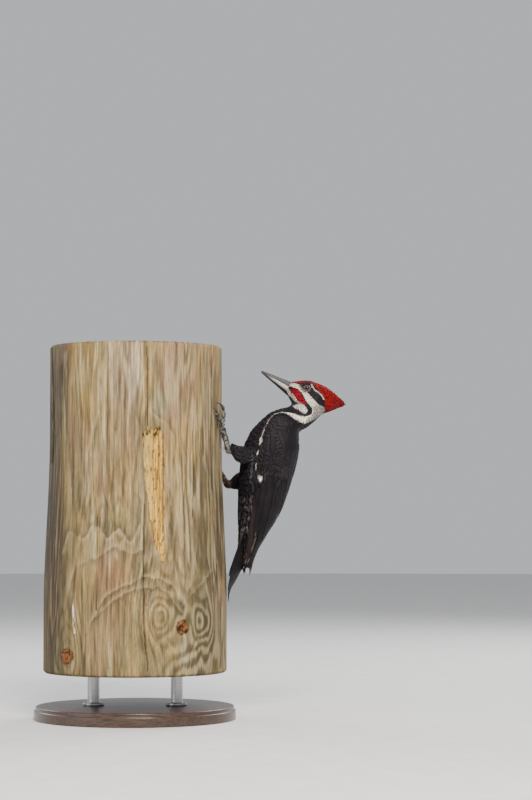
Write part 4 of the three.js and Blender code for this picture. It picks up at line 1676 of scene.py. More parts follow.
@dataclass
class FlightFeathers:
    """The wing's and tail's large feathers."""

    plumage: Plumage
    thickness: float = 0.28
    shaft: float = 0.22
    slope: float = 0.055  # each feather's fall across it, for each millimetre
    shade: float = 0.48  # how dark they are beside the coat

    def wing(self, face: WingFace, rows: Sequence[QuillRow]) -> Piece:
        """Makes one wing's large feathers.

        Args:
            face: The folded wing.
            rows: Its rows of feathers.

        Returns:
            The feathers as one piece.
        """
        shape, number, total = Shape(), 0, sum(row.count for row in rows)
        pale = []
        for row in rows:
            roots = even_curve(np.array(row.roots, float), row.count)
            tips = np.array(row.tips, float)
            if len(tips) != row.count:
                tips = even_curve(smooth_curve(tips, 8) if len(tips) > 2 else tips, row.count)
            for i in range(row.count):
                share = i / (row.count - 1)
                half = row.half_widths[0] + (row.half_widths[1] - row.half_widths[0]) * share
                root, tip = roots[i], tips[i]

                def surface(t: np.ndarray, a: np.ndarray, up: float) -> np.ndarray:
                    """The feather's upper or under face over the wing."""
                    z = root[0] + (tip[0] - root[0]) * t
                    bow = 0.03 * np.sin(np.pi * t)
                    v = root[1] + (tip[1] - root[1]) * smoothstep(-0.25, 1.0, t) + bow
                    outline = Ribbon.outline(t, row.point)
                    z = z + 5.5 * (1 - np.sqrt(1 - 0.8 * a * a)) * smoothstep(0.8, 1.0, t) * outline
                    aside = a * half * outline
                    lift = row.lift + self.slope * (half - aside) + 0.35 * smoothstep(0.0, 1.0, t)
                    ridge = self.shaft * (np.abs(a) < 0.05) * (up > 0) * (1 - 0.6 * t)
                    body = 0.5 * self.thickness * (1 - a * a) * up
                    return face.at(z, v + aside / face.span(z), lift + ridge + body)

                Ribbon.add(shape, surface, 22, abs(root[0] - tip[0]), half, number, total)
                pale.append((row.pale_edge, row.pale_tip))
                number += 1
        name = f"flight_{face.side.word}"
        return self.finish(shape, name, pale, total)

    def finish(self, shape: Shape, name: str, pale: list[tuple[float, float]], total: int) -> Piece:
        """Turns feathers into a coloured piece with its map.

        Args:
            shape: The feathers.
            name: The piece's name.
            pale: For each feather, how pale its edge and its tip are.
            total: How many feathers there are.

        Returns:
            The piece.
        """
        piece = shape.closed(name)
        mesh = piece.data
        across, along, tuft, u, v = (
            read_attribute(mesh, key, 1) for key in ("across", "along", "tuft", "map_u", "map_v")
        )
        number = np.clip((u * total).astype(int), 0, total - 1)
        edge, tip = np.array(pale)[number].T
        points = vertices_of(mesh)
        colours = self.plumage.tones(points, 0.25 + 0.5 * tuft)
        colours[:, :3] *= self.shade
        wear_and_glint = Tone(118, 104, 98).linear
        rim = edge * smoothstep(0.86, 1.0, -across) + 0.6 * edge * smoothstep(0.9, 1.0, across)
        end = tip * smoothstep(0.93, 1.0, along)
        share = np.clip(rim + end, 0, 1)[:, None]
        colours[:, :3] += (wear_and_glint - colours[:, :3]) * share
        shaft = (np.abs(across) < 0.05)[:, None]
        colours[:, :3] = np.where(shaft, colours[:, :3] * 0.8, colours[:, :3])
        write_attribute(mesh, "plumage", colours)
        write_bake_map(mesh, np.stack([u, v], axis=1))
        for key in ("across", "along", "tuft", "map_u", "map_v"):
            mesh.attributes.remove(mesh.attributes[key])
        return piece


@dataclass
class Tail:
    """Twelve stiff, pointed feathers, bent against the pole."""

    ridge: Line = (
        (183, 296), (178, 265.5), (166.5, 236), (154.6, 216.5), (148, 204), (141.8, 193.5), (138.8, 183),
        (138.4, 172),
    )
    edge: Line = (
        (160, 296), (156.5, 265.5), (147.6, 238.5), (140.6, 217.5), (138, 205.5), (137, 193.5), (137, 183),
        (137.4, 172),
    )
    half_widths: tuple[float, ...] = (14, 19, 24, 27, 28, 27.5, 26, 24)
    drop: float = 1.6
    graduation: float = 0.4
    per_side: int = 6
    half_depth: float = 1.1
    thickness: float = 0.55

    def __post_init__(self) -> None:
        """Draws the lines that shape it."""
        self.ridge_line = smooth_curve(self.ridge, 8)
        self.edge_line = smooth_curve(self.edge, 8)
        self.widths = smooth_curve([(w, 10 * i) for i, w in enumerate(self.half_widths)], 8)[:, 0]

    @staticmethod
    def look(line: np.ndarray, share: np.ndarray) -> np.ndarray:
        """A line's value at shares of its length."""
        at = np.clip(share, 0, 1) * (len(line) - 1)
        if line.ndim == 1:
            return np.interp(at, np.arange(len(line)), line)
        return np.stack([np.interp(at, np.arange(len(line)), line[:, k]) for k in range(line.shape[1])], axis=-1)

    def build(self, feathers: FlightFeathers) -> Piece:
        """Makes the tail.

        Args:
            feathers: The maker of large feathers.

        Returns:
            The tail as one piece.
        """
        shape, pale, number = Shape(), [], 0
        total = 2 * self.per_side
        for side, k in itertools.product((-1, 1), range(self.per_side)):
            middle = side * (k + 0.42) / self.per_side
            end = 1 - self.graduation * abs(middle) ** 1.5 - (0.0 if k else 0.005)
            if k == self.per_side - 1:
                end -= 0.16
            half = 0.74 / self.per_side

            def surface(t: np.ndarray, a: np.ndarray, up: float) -> np.ndarray:
                """The feather's upper or under face in the tail's arch."""
                s = (0.02 + (end - 0.02) * t)
                point = np.clip((t - 0.62) / 0.38, 0, 1)
                width = half * (1 - 0.35 * point - 0.6 * point**3) * np.sqrt(np.clip(1.0004 - t**24, 0, 1))
                across = np.clip(middle + a * width, -1, 1)
                reach = np.abs(across)
                place = self.look(self.ridge_line, s)
                edge = self.look(self.edge_line, s)
                flat = place + (edge - place) * (reach**self.drop)[..., None]
                layer = self.half_depth * (1 - 1.8 * (k + 0.5 + 0.5 * a * side) / self.per_side)
                body = 0.5 * self.thickness * (1 - a * a) * up
                ridge = 0.35 * (np.abs(a) < 0.05) * (1 - 0.7 * t) * up
                x = flat[..., 0] + layer + body + ridge
                return np.stack([x, across * self.look(self.widths, s), flat[..., 1]], axis=-1)

            Ribbon.add(shape, surface, 26, 120.0 * end, 3.4, number, total)
            pale.append((0.1, 0.06))
            number += 1
        return feathers.finish(shape, "tail_feathers", pale, total)


# ------------------------------------------------------------------ bill and eyes


@dataclass
class Bill:
    """A long, straight, chisel-tipped bill in two halves."""

    base: tuple[float, float] = (233.0, 493.0)
    tip: tuple[float, float] = (188.0, 518.5)
    upper_height: float = 9.0
    lower_height: float = 12.4
    half_width: float = 7.4
    tip_half_width: float = 1.3
    tip_height: float = 1.7
    gap: float = 0.15
    rings: int = 46
    sides: int = 32

    def half(self, sign: int) -> Piece:
        """Makes the upper half for sign 1, or the lower for -1."""
        base = np.array([self.base[0], 0, self.base[1]])
        along = np.array([self.tip[0], 0, self.tip[1]]) - base
        up = sign * unit(np.array([along[2], 0, -along[0]]))
        height = self.upper_height if sign > 0 else self.lower_height
        s = np.linspace(-0.1, 1.0, self.rings)[:, None]
        angle = turns(self.sides)[None, :]
        reach = np.clip(s, 0, 1)
        tall = height + (self.tip_height - height) * reach**0.94
        wide = self.half_width + (self.tip_half_width - self.half_width) * reach**0.85
        wide = np.where(s > 0.97, wide * 0.8, wide)
        tall = np.where(s > 0.99, tall * 0.6, np.where(s > 0.96, tall * 0.88, tall))
        sine, cosine = np.sin(angle), np.cos(angle)
        # A keeled back, with a hollow below the ridge that runs out from the nostril.
        rise = tall * np.where(sine > 0, np.clip(sine, 0, 1) ** 1.25, 0.14 * sine)
        hollow = 0.5 * np.exp(-(((angle % np.pi - np.pi / 2) / 0.34) ** 2)) if sign > 0 else 0.0
        across = wide * np.sign(cosine) * np.abs(cosine) ** 1.1 * (1 - 0.18 * hollow * smoothstep(0.7, 0.2, s))
        points = (
            base + along * s[..., None] + up * (self.gap + rise)[..., None]
            + np.stack([0 * across, across, 0 * across], axis=-1)
        ).reshape(-1, 3)
        shape = Shape()
        share = np.broadcast_to(np.clip(rise / tall, 0, 1), across.shape).ravel()
        way = np.broadcast_to(s, across.shape).ravel()
        shape.add(
            points, ring_faces(self.rings, self.sides), plumage=self.tones(sign, way, share),
            vane=np.stack([way * 50, share * 8, 0 * way], axis=1),
        )
        return shape.closed("upper_mandible" if sign > 0 else "lower_mandible")

    @staticmethod
    def tones(sign: int, way: np.ndarray, share: np.ndarray) -> np.ndarray:
        """The horn's colours.

        Args:
            sign: 1 for the upper half and -1 for the lower.
            way: From 0 at the base to 1 at the tip.
            share: From 0 at the cutting edge to 1 at the ridge.

        Returns:
            Rows of red, green, blue and 1.
        """
        slate, pale, ivory = Tone(40, 39, 45).linear, Tone(88, 85, 88).linear, Tone(168, 160, 149).linear
        dark = Tone(18, 17, 20).linear
        if sign > 0:
            # The paler band along the middle of the upper half's sides is a painted highlight.
            colours = blend(slate, pale, smoothstep(0.3, 0.5, share) * smoothstep(0.95, 0.7, share) * 0.75)
            colours = blend(colours, dark, smoothstep(0.36, 0.22, share) * smoothstep(1.0, 0.8, way) * 0.85)
        else:
            colours = blend(slate, ivory, smoothstep(0.6, 0.38, share) * smoothstep(0.92, 0.4, way))
            colours = blend(colours, dark, smoothstep(0.45, 0.65, share) * 0.8)
        return opaque(blend(colours, pale, smoothstep(0.8, 0.97, way) * 0.25))


@dataclass
class Eyes:
    """Two bright eyes, each in a ring of bare grey lids."""

    centre: tuple[float, float] = EYE
    offset: float = 10.4
    radius: float = 5.4
    iris: float = 3.7
    pupil: float = 2.1
    lid: float = 6.5

    def axes(self, side: Side) -> tuple[np.ndarray, np.ndarray, np.ndarray, np.ndarray]:
        """An eye's centre, where it looks, and two directions across that."""
        centre = np.array([self.centre[0], side.value * self.offset, self.centre[1]])
        look = unit(np.array([-0.13, side.value, 0.03]))
        across = unit(np.cross(look, [0, 0, 1]))
        return centre, look, across, np.cross(across, look)

    def ball(self, side: Side) -> Piece:
        """Makes one eyeball."""
        centre, look, across, up = self.axes(side)
        rings, sides = 40, 48
        turn = np.linspace(0.02, np.pi - 0.02, rings)[:, None]
        angle = turns(sides)[None, :]
        out = self.radius * np.sin(turn)
        bulge = 0.3 * smoothstep(self.iris + 0.6, 0, out) * (turn < 1.5)
        points = (
            centre
            + look * (self.radius * np.cos(turn) + bulge)[..., None]
            + out[..., None] * (across * np.cos(angle)[..., None] + up * np.sin(angle)[..., None])
        ).reshape(-1, 3)
        spot = np.broadcast_to(np.where(turn < 1.6, out, 9.0), (rings, sides)).ravel()
        around = np.broadcast_to(angle, (rings, sides)).ravel()
        fibre = Noise(5).at(np.stack([np.cos(around) * 9, np.sin(around) * 9, spot * 0.6], axis=1), 2)
        iris = Tone(72, 42, 33).linear * (0.6 + 0.8 * fibre[:, None])
        iris = blend(iris, Tone(60, 36, 26).linear, smoothstep(self.pupil + 0.9, self.pupil, spot) * 0.45)
        colours = np.where(spot[:, None] > self.iris, Tone(20, 16, 17).linear, iris)
        colours = np.where(spot[:, None] < self.pupil, Tone(2, 2, 3).linear, colours)
        shape = Shape()
        shape.add(points, ring_faces(rings, sides), plumage=opaque(colours))
        return shape.closed(f"eyeball_{side.word}")

    def lids(self, side: Side, skin: Skin) -> Piece:
        """Makes one ring of lids, from the eyeball out to the skin.

        Args:
            side: Which eye.
            skin: What the ring's edge lies on.

        Returns:
            The ring.
        """
        centre, look, across, up = self.axes(side)
        profile = (
            (3.7, 3.4), (3.64, 4.1), (4.05, 4.36), (4.75, 4.2), (5.4, 3.8), (6.0, 3.35), (self.lid, 2.9),
            (self.lid, 1.9),
        )
        line = smooth_curve(profile, 4)
        sides = 64
        angle = turns(sides)
        around = across * np.cos(angle)[:, None] + up * np.sin(angle)[:, None]
        # The ring is a little longer than tall, and drawn out to a corner in front.
        stretch = 1 + 0.07 * np.cos(2 * angle) + 0.05 * np.clip(np.cos(angle - np.pi), 0, 1) ** 6
        rings = []
        for r, h in line:
            wide = r * (1 + (stretch - 1) * smoothstep(3.9, 5.2, r))
            folds = 0.08 * np.sin(angle * 15 + 2 * r) * smoothstep(4.1, 4.9, r) * smoothstep(6.4, 5.4, r)
            ring = centre + look * (h + folds)[:, None] + wide[:, None] * around
            if r > 4.8:
                for i, point in enumerate(ring):
                    near, normal, _, _ = skin.tree.find_nearest(Vector(point))
                    hold = float(smoothstep(4.8, 5.8, r))
                    sunk = 0.45 - 0.9 * float(smoothstep(5.6, self.lid, r))
                    ring[i] = point * (1 - hold) + np.array(near + normal * sunk) * hold
            rings.append(ring)
        points = np.vstack([*rings, centre + look * 1.9 + 3.6 * around])
        count = len(rings) + 1
        faces = []
        for r, i in itertools.product(range(count), range(sides)):
            a, b = r * sides + i, r * sides + (i + 1) % sides
            c, d = (b + sides) % (count * sides), (a + sides) % (count * sides)
            faces.append((a, b, c, d))
        reach = np.linalg.norm(points - centre - ((points - centre) @ look)[:, None] * look, axis=1)
        share = (smoothstep(4.2, 3.8, reach) + smoothstep(5.5, 6.3, reach)) * 0.85
        colours = blend(Tone(72, 66, 74).linear, Tone(26, 23, 26).linear, share)
        shape = Shape()
        shape.add(points, faces, plumage=opaque(colours))
        return shape.closed(f"lids_{side.word}")


@dataclass(frozen=True)
class HornFinish:
    """Bill and claws: hard, faintly grained along their length, with a soft shine."""

    name: str
    roughness: float = 0.34
    coat: float = 0.15
    specular: float = 0.4
    grain: tuple[float, float, float] = (0.35, 0.35, 0.35)
    depth: float = 0.12

    def material(self) -> bpy.types.Material:
        """Makes the material."""
        paint = Paint(self.name)
        where = paint.place(self.grain)
        fine = paint.noise(where, 1.0, 5)
        cloud = paint.noise(where, 0.25, 3)
        factor = paint.times(paint.ramp(fine, 0.3, 0.7, 0.88, 1.1), paint.ramp(cloud, 0.3, 0.7, 0.86, 1.12))
        return paint.finish(
            Base_Color=paint.shade(paint.carried("plumage"), factor),
            Roughness=paint.ramp(cloud, 0.3, 0.7, self.roughness - 0.06, self.roughness + 0.1),
            Coat_Weight=self.coat,
            Specular_IOR_Level=self.specular,
            Normal=paint.bump(fine, self.depth),
        )


@dataclass(frozen=True)
class EyeFinish:
    """A wet, clear eye."""

    name: str = "eye_clear"

    def material(self) -> bpy.types.Material:
        """Makes the material."""
        paint = Paint(self.name)
        depth = paint.ramp(paint.noise(paint.place(), 1.4, 3), 0.3, 0.7, 0.9, 1.1)
        return paint.finish(
            Base_Color=paint.shade(paint.carried("plumage"), depth),
            Roughness=0.2,
            Coat_Weight=0.35,
            Coat_Roughness=0.0,
            Specular_IOR_Level=0.12,
        )


# ------------------------------------------------------------------ the pole


@dataclass(frozen=True)
class Stain:
    """A patch of colour on the front of the pole: centre and half-sizes in millimetres."""

    x: float
    z: float
    wide: float
    tall: float
    tone: Tone
    strength: float = 0.8


@dataclass(frozen=True)
class Swirl:
    """A place that the grain runs round, and the knot at its heart if there is one."""

    x: float
    z: float
    wide: float
    tall: float
    lines: float  # grain lines between its heart and its edge
    knot: float = 0.0  # half the knot's width


FRONT_STAINS = (
    Stain(-116, 520, 16, 75, Tone(73, 61, 48), 0.85),
    Stain(-121, 425, 9, 60, Tone(96, 80, 61), 0.6),
    Stain(-120, 523, 4, 26, Tone(130, 78, 38), 0.7),
    Stain(-82, 480, 20, 110, Tone(150, 124, 72), 0.6),
    Stain(-92, 330, 16, 90, Tone(152, 130, 76), 0.5),
    Stain(-26, 520, 22, 62, Tone(182, 164, 136), 0.65),
    Stain(-4, 515, 12, 52, Tone(186, 173, 149), 0.8),
    Stain(-30, 420, 14, 50, Tone(164, 143, 110), 0.45),
    Stain(55, 500, 32, 80, Tone(134, 108, 86), 0.65),
    Stain(36, 468, 14, 24, Tone(150, 143, 120), 0.6),
    Stain(106, 480, 3.4, 90, Tone(174, 160, 131), 0.6),
    Stain(106, 378, 17, 26, Tone(97, 88, 67), 0.65),
    Stain(94, 300, 16, 60, Tone(122, 105, 78), 0.5),
    Stain(-28, 288, 26, 34, Tone(124, 110, 70), 0.6),
    Stain(-34, 216, 24, 50, Tone(142, 102, 72), 0.65),
    Stain(60, 240, 26, 60, Tone(130, 110, 83), 0.4),
    Stain(74, 96, 8, 28, Tone(188, 175, 149), 0.75),
    Stain(96, 110, 20, 34, Tone(129, 109, 77), 0.5),
    Stain(-60, 130, 20, 50, Tone(148, 124, 86), 0.5),
    Stain(8, 300, 10, 110, Tone(165, 146, 114), 0.35),
    Stain(-70, 392, 34, 5, Tone(171, 153, 120), 0.3),
    Stain(-112, 200, 12, 90, Tone(106, 92, 69), 0.6),
    Stain(118, 200, 9, 90, Tone(96, 83, 64), 0.6),
    Stain(-125, 320, 8, 110, Tone(84, 74, 58), 0.6),
    Stain(-44, 290, 30, 7, Tone(96, 88, 54), 0.6),
    Stain(-66, 280, 8, 16, Tone(98, 90, 56), 0.5),
)

SWIRLS = (
    Swirl(66, 146, 66, 92, 4.2),
    Swirl(70.5, 136, 16, 26, -1.6, 8.0),
    Swirl(36, 152, 19, 30, 2.3),
    Swirl(101, 143, 16, 34, 2.5),
    Swirl(-101, 93, 26, 66, 4.0, 8.0),
    Swirl(-48, 300, 12, 34, 1.7),
    Swirl(-20, 296, 12, 40, 1.7),
    Swirl(20, 438, 30, 70, 1.8),
    Swirl(-74, 330, 22, 100, 1.6),
)

CHECKS: tuple[tuple[Line, float], ...] = (
    (((17.4, 556), (17.4, 500), (17.8, 460), (18.4, 436)), 0.9),
    (((12.8, 318), (12.6, 265), (12.2, 210), (12.4, 175), (13, 145), (15, 115), (18.5, 84), (19, 72)), 1.3),
    (((-127, 556), (-125, 500), (-123, 440), (-125, 380)), 1.4),
    (((86, 430), (87, 360), (85.5, 300)), 0.7),
    (((-58, 300), (-57, 230), (-58.5, 160)), 0.7),
    (((113, 556), (114, 470), (112, 400)), 0.8),
)

# The boldest lines of the grain: the line, how far the dark on its left fades, and how strong it is.
GRAIN_LINES: tuple[tuple[Line, float, float], ...] = (
    (((72, 171), (64.5, 183), (52.5, 198), (37.5, 205.5), (19.5, 210), (7.5, 208.5), (-16.5, 196.5), (-37.5, 186),
      (-52.5, 168), (-66, 140)), 10, 0.6),
    (((70.5, 159), (61.5, 168), (49.5, 184.5), (31.5, 195), (7.5, 193.5), (-16.5, 186), (-37.5, 171), (-60, 150),
      (-72, 130)), 9, 0.55),
    (((112.5, 219), (100.5, 201), (85.5, 186), (73.5, 171)), 9, 0.6),
    (((-110, 250), (-97.5, 279), (-76.5, 268.5), (-67.5, 283.5), (-55.5, 286.5), (-40.5, 268.5), (-33, 279),
      (-25.5, 282.6), (-15, 273), (-7.5, 262.5), (-1.5, 273), (8, 300), (6, 330)), 12, 0.6),
    (((12, 262), (10.5, 253.5), (-4.5, 244.5), (-16.5, 249), (-33, 255), (-46.5, 244.5), (-61.5, 238.5),
      (-88.5, 225), (-96, 200), (-98, 160)), 16, 0.5),
    (((19.5, 489), (24, 459), (43.5, 444), (55.5, 426), (58.5, 402), (55.5, 372), (55.5, 330), (51, 288),
      (55.5, 243), (67.5, 198), (73.5, 177)), 9, 0.5),
    (((66, 420), (74, 380), (72, 340), (71, 300), (70, 250), (73, 205), (74.5, 180)), 7, 0.4),
    (((96, 430), (94.5, 366), (96, 318), (93.9, 273), (85.5, 213), (77.1, 180)), 8, 0.55),
    (((103.5, 390), (112.5, 348), (120, 294), (123, 234)), 8, 0.5),
    (
        ((-16.5, 490), (-16.5, 465), (-3, 457.5), (4.5, 438), (0.9, 402), (-4.5, 360), (-7.5, 318), (-8.7, 294)), 9,
        0.45,
    ),
    (((-103.5, 546), (-105, 498), (-106.5, 459), (-103.5, 414), (-97.5, 366), (-94.5, 318)), 10, 0.5),
    (((-52, 556), (-54.9, 522), (-54, 480), (-58, 440), (-70.5, 400), (-72, 360), (-75, 330)), 12, 0.4),
    (((48, 118), (58, 106), (66, 92), (70, 72)), 6, 0.5),
    (((80, 72), (82, 88), (86, 104), (94, 120)), 6, 0.5),
    (((20, 150), (24, 122), (38, 104), (46, 84)), 8, 0.45),
)

TORN = (
    (10, 424), (13.5, 432), (18, 428), (23, 433.5), (28, 429), (33, 434), (38, 430), (41, 424), (42.6, 390),
    (42.2, 350), (43.4, 300), (44, 262), (45.5, 244), (43, 233), (37.5, 234.5), (34, 250), (28, 262), (26, 290),
    (21, 300), (19.5, 330), (14, 345), (12.5, 380),
)


@dataclass
class Pole:
    """A cut length of weathered timber, with checks, knots and a torn strip."""

    bottom: float = 70.0
    top: float = 555.0
    slim_radius: float = 128.5
    stout_radius: float = 136.5
    slim_from: float = 410.0
    stout_to: float = 170.0
    chamfer: float = 3.0
    rows: int = 216
    front_columns: int = 322
    back_columns: int = 86
    cap_rings: int = 8
    seed: int = 23
    mean_radius: float = 132.0  # its marks are laid out on a cylinder of this radius
    back_stains: int = 44
    # Its marks are placed as they look from the front, from this far, aimed at this x and z.
    seen_from: float = 3400.0
    seen_at: tuple[float, float] = (195.0, 475.5)
    seen_rise: float = 0.052  # how far a near mark looks higher, for each millimetre nearer

    def radius(self, z: np.ndarray) -> np.ndarray:
        """The pole's radius at heights."""
        share = smoothstep(self.slim_from, self.stout_to, z)
        return self.slim_radius + (self.stout_radius - self.slim_radius) * share

    def off(self, place: Sequence[float], side: Side) -> np.ndarray:
        """A point off the pole's face, from degrees round from +X, height and distance."""
        angle = math.radians(place[0])
        reach = float(self.radius(place[1])) + place[2]
        return np.array([reach * math.cos(angle), side.value * reach * math.sin(angle), place[1]])

    def build(self) -> Piece:
        """Makes the pole."""
        front = np.linspace(-92, 92, self.front_columns, endpoint=False)
        back = np.linspace(92, 268, self.back_columns, endpoint=False)
        azimuth = np.radians(np.concatenate([front, back]))  # 0 is towards -Y and 90 towards +X
        heights = np.linspace(self.bottom + self.chamfer, self.top - self.chamfer, self.rows)
        heights = np.concatenate([[self.bottom], heights, [self.top]])
        z, az = np.meshgrid(heights, azimuth, indexing="ij")
        radius = self.radius(z)
        radius[[0, -1]] -= self.chamfer
        columns = len(azimuth)
        nearer = 1 + radius * np.cos(az) / self.seen_from
        across = self.seen_at[0] + (radius * np.sin(az) - self.seen_at[0]) * nearer
        height = self.seen_at[1] + (z - self.seen_at[1]) * nearer + self.seen_rise * radius * np.cos(az)
        flat = np.stack([across, height, az], axis=-1).reshape(-1, 3)
        relief, colours, grain = self.weather(flat)
        radius = radius + relief.reshape(radius.shape)
        points = np.stack([radius * np.sin(az), -radius * np.cos(az), z], axis=-1).reshape(-1, 3)
        faces = ring_faces(len(heights), columns)[:-2]
        shape = Shape()
        shape.add(points, faces, plumage=colours, grain=grain, end=np.zeros(len(points)))
        for rim in (slice(columns), slice(-columns, None)):
            self.cap(shape, points[rim], colours[rim])
        piece = shape.piece("timber_pole")
        point_outwards(piece, weld=True)
        piece.data.shade_smooth()
        return piece

    def cap(self, shape: Shape, rim: np.ndarray, colours: np.ndarray) -> None:
        """Adds the sawn end inside a rim.

        Args:
            shape: What it is added to.
            rim: The rim's points.
            colours: Their colours.
        """
        shares = np.linspace(1, 0.03, self.cap_rings)
        points = np.vstack([rim * [s, s, 1] for s in shares])
        count = len(rim)
        faces = ring_faces(self.cap_rings, count)[:-2]
        faces.append(tuple(range((self.cap_rings - 1) * count, self.cap_rings * count)))
        sawn = Tone(150, 132, 104).linear
        # The rim keeps the colours of the side.
        tone = np.vstack([blend(colours[:, :3], sawn, np.full(count, min(1, 8 * (1 - s)))) for s in shares])
        shape.add(points, faces, plumage=opaque(tone), grain=np.zeros(len(points)), end=np.ones(len(points)))

    def weather(self, flat: np.ndarray) -> tuple[np.ndarray, np.ndarray, np.ndarray]:
        """What years outdoors did to the side of the pole, with painted shade towards the front's edges.

        Args:
            flat: Rows of x and height as they look from the front, and turn round the pole.

        Returns:
            How far each point stands out, its colour, and its place in the run of the grain.
        """
        noise = Noise(self.seed)
        x, z, az = flat.T
        wrap = self.mean_radius * np.stack([np.sin(az), -np.cos(az)], axis=1)
        front = smoothstep(-0.02, 0.1, np.cos(az))
        for swirl in SWIRLS:
            dx, dz = (x - swirl.x) / swirl.wide, (z - swirl.z) / swirl.tall
            wrap[:, 0] -= 0.8 * dx * swirl.wide * np.exp(-1.6 * (dx**2 + dz**2)) * front * (swirl.lines > 2)

        def read(across: float, tall: float, shift: float, octaves: int = 3) -> np.ndarray:
            """Noise drawn out along the pole."""
            return noise.at(np.column_stack([wrap / across + shift, z / tall]), octaves)

        # The run of the grain: contours of a long, uneven surface, which part round knots and swirls.
        grain = 7.5 * read(46, 420, 3.1, 2) + 2.4 * read(14, 170, 9.2, 2) + 0.7 * read(5, 50, 2.9, 3)
        knots, strong = np.zeros(len(x)), np.zeros(len(x))
        for swirl in SWIRLS:
            dx, dz = (x - swirl.x) / swirl.wide, (z - swirl.z) / swirl.tall
            near = np.exp(-1.6 * (dx**2 + dz**2)) * front
            grain += swirl.lines * near
            strong = np.maximum(strong, near * min(1.0, abs(swirl.lines) / 3))
            if swirl.knot:
                reach = np.hypot((x - swirl.x) / swirl.knot, (z - swirl.z) / (swirl.knot * 1.25))
                knots = np.maximum(knots, smoothstep(1.3, 0.85, reach + 0.5 * (read(3, 3, 4.4, 2) - 0.5)) * front)

        # Colours: silvered tan, with long stains and pale and dark streaks.
        tan, grey, pale = Tone(152, 124, 78).linear, Tone(88, 76, 54).linear, Tone(176, 162, 126).linear
        broad = read(30, 300, 0.0)[:, None]
        colours = grey + (tan - grey) * smoothstep(0.2, 0.58, broad)
        edges = 0.5 * (read(5, 40, 2.2) - 0.5) + 0.9 * (read(2.6, 70, 8.1) - 0.5)
        for stain in FRONT_STAINS:
            d = np.hypot((x - stain.x) / stain.wide, (z - stain.z) / stain.tall) + edges
            colours = blend(colours, stain.tone.linear, smoothstep(1.25, 0.45, d) * stain.strength * front)
        rng = np.random.default_rng(self.seed)
        choices = ((86, 72, 52), (178, 160, 122), (132, 104, 66), (140, 98, 60), (120, 108, 74), (64, 54, 40))
        for _ in range(self.back_stains):
            at, height = rng.uniform(95, 265), rng.uniform(60, 560)
            wide, tall = rng.uniform(5, 22), rng.uniform(30, 120)
            turn = (np.degrees(az) % 360) - at
            d = np.hypot(np.radians(turn) * self.mean_radius / wide, (z - height) / tall) + edges
            tone = Tone(*choices[rng.integers(len(choices))]).linear
            colours = blend(colours, tone, smoothstep(1.25, 0.4, d) * 0.65 * (1 - 0.7 * front))
        wavy = wrap + 5 * np.column_stack([read(30, 60, 21.0, 2) - 0.5, read(30, 60, 25.0, 2) - 0.5])
        thin = noise.at(np.column_stack([wavy / 4.2 + 31, z / 85]), 3)
        tints = (
            (pale, smoothstep(0.54, 0.7, thin) * smoothstep(0.3, 0.7, read(24, 90, 17.0)) * 0.8),
            (grey * 0.75, smoothstep(0.47, 0.32, thin) * 0.74),
            (Tone(142, 111, 88).linear, smoothstep(0.48, 0.66, read(22, 130, 43.0)) * 0.42),
            (Tone(124, 114, 80).linear, smoothstep(0.48, 0.7, read(20, 60, 14.0)) * 0.45 + 0.5 * strong),
        )
        for tone, share in tints:
            colours = blend(colours, tone, share)
        fibres = 0.8 * (read(1.6, 60, 5.5, 2) - 0.5) + 0.55 * (read(0.9, 18, 7.7, 2) - 0.5)
        colours = colours * (1 + fibres[:, None])
        murk = smoothstep(-96, -118, x) * smoothstep(0.62, 0.42, read(3.2, 60, 47.0)) * front
        murky = 0.6 * smoothstep(0.5, 0.38, read(2.2, 44, 52.0)) * smoothstep(0.4, 0.6, read(30, 90, 55.0, 2))
        colours = blend(colours, Tone(58, 49, 40).linear, 0.75 * np.maximum(murk, murky))
        ring = 0.5 + 0.5 * np.sin(2 * np.pi * grain)
        uneven = smoothstep(0.3, 0.65, read(30, 50, 27.0, 2))
        coarse = smoothstep(20, 70, x)
        dark = smoothstep(0.4, 0.85, ring) * uneven * (0.35 + 0.25 * coarse + 0.25 * strong)
        colours = blend(colours, Tone(74, 63, 44).linear, dark)
        colours = blend(colours, pale * 0.9, smoothstep(0.6, 0.1, ring) * uneven * (0.15 + 0.3 * coarse))
        # The front grows darker towards its left and right edges: painted shade where the round pole turns away from
        # the light.
        colours *= (1.03 - 0.43 * smoothstep(-60, -128, x) * front - 0.22 * smoothstep(70, 130, x) * front)[:, None]

        # The boldest grain lines: pale up to the line, and dark beyond it, fading.
        shaken = np.column_stack([x + 5 * (read(7, 12, 33.0, 3) - 0.5), z + 9 * (read(7, 16, 36.0, 3) - 0.5)])
        broken = 0.35 + 0.65 * smoothstep(0.35, 0.6, read(16, 26, 39.0, 2))
        for line, fade, strength in GRAIN_LINES:
            course = smooth_curve(line, 4)
            reach = np.ptp(course, axis=0) / 2 + 2 * fade
            middle = (course.min(0) + course.max(0)) / 2
            near = np.flatnonzero((np.abs(shaken - middle) < reach).all(axis=1) & (front > 0.5))
            left = beside(shaken[near], course)
            dark = smoothstep(-0.6, 0.8, left) * smoothstep(fade, 0, left) * broken[near] * strength
            light = smoothstep(0.4, -0.8, left) * smoothstep(-0.7 * fade, 0, left) * broken[near] * strength * 0.6
            colours[near] += (pale - colours[near]) * light[:, None]
            colours[near] += (Tone(68, 58, 41).linear - colours[near]) * dark[:, None]

        # Knots with rusty hearts and black cracks.
        colours = blend(colours, Tone(126, 78, 38).linear * (0.3 + 1.2 * read(3, 4, 1.7)[:, None]), knots)
        colours *= (1 - 0.9 * smoothstep(0.5, 0.6, read(2.4, 3.4, 12.0, 2)) * knots)[:, None]
        colours *= (1 - 0.75 * smoothstep(0.05, 0.35, knots) * smoothstep(0.95, 0.6, knots))[:, None]

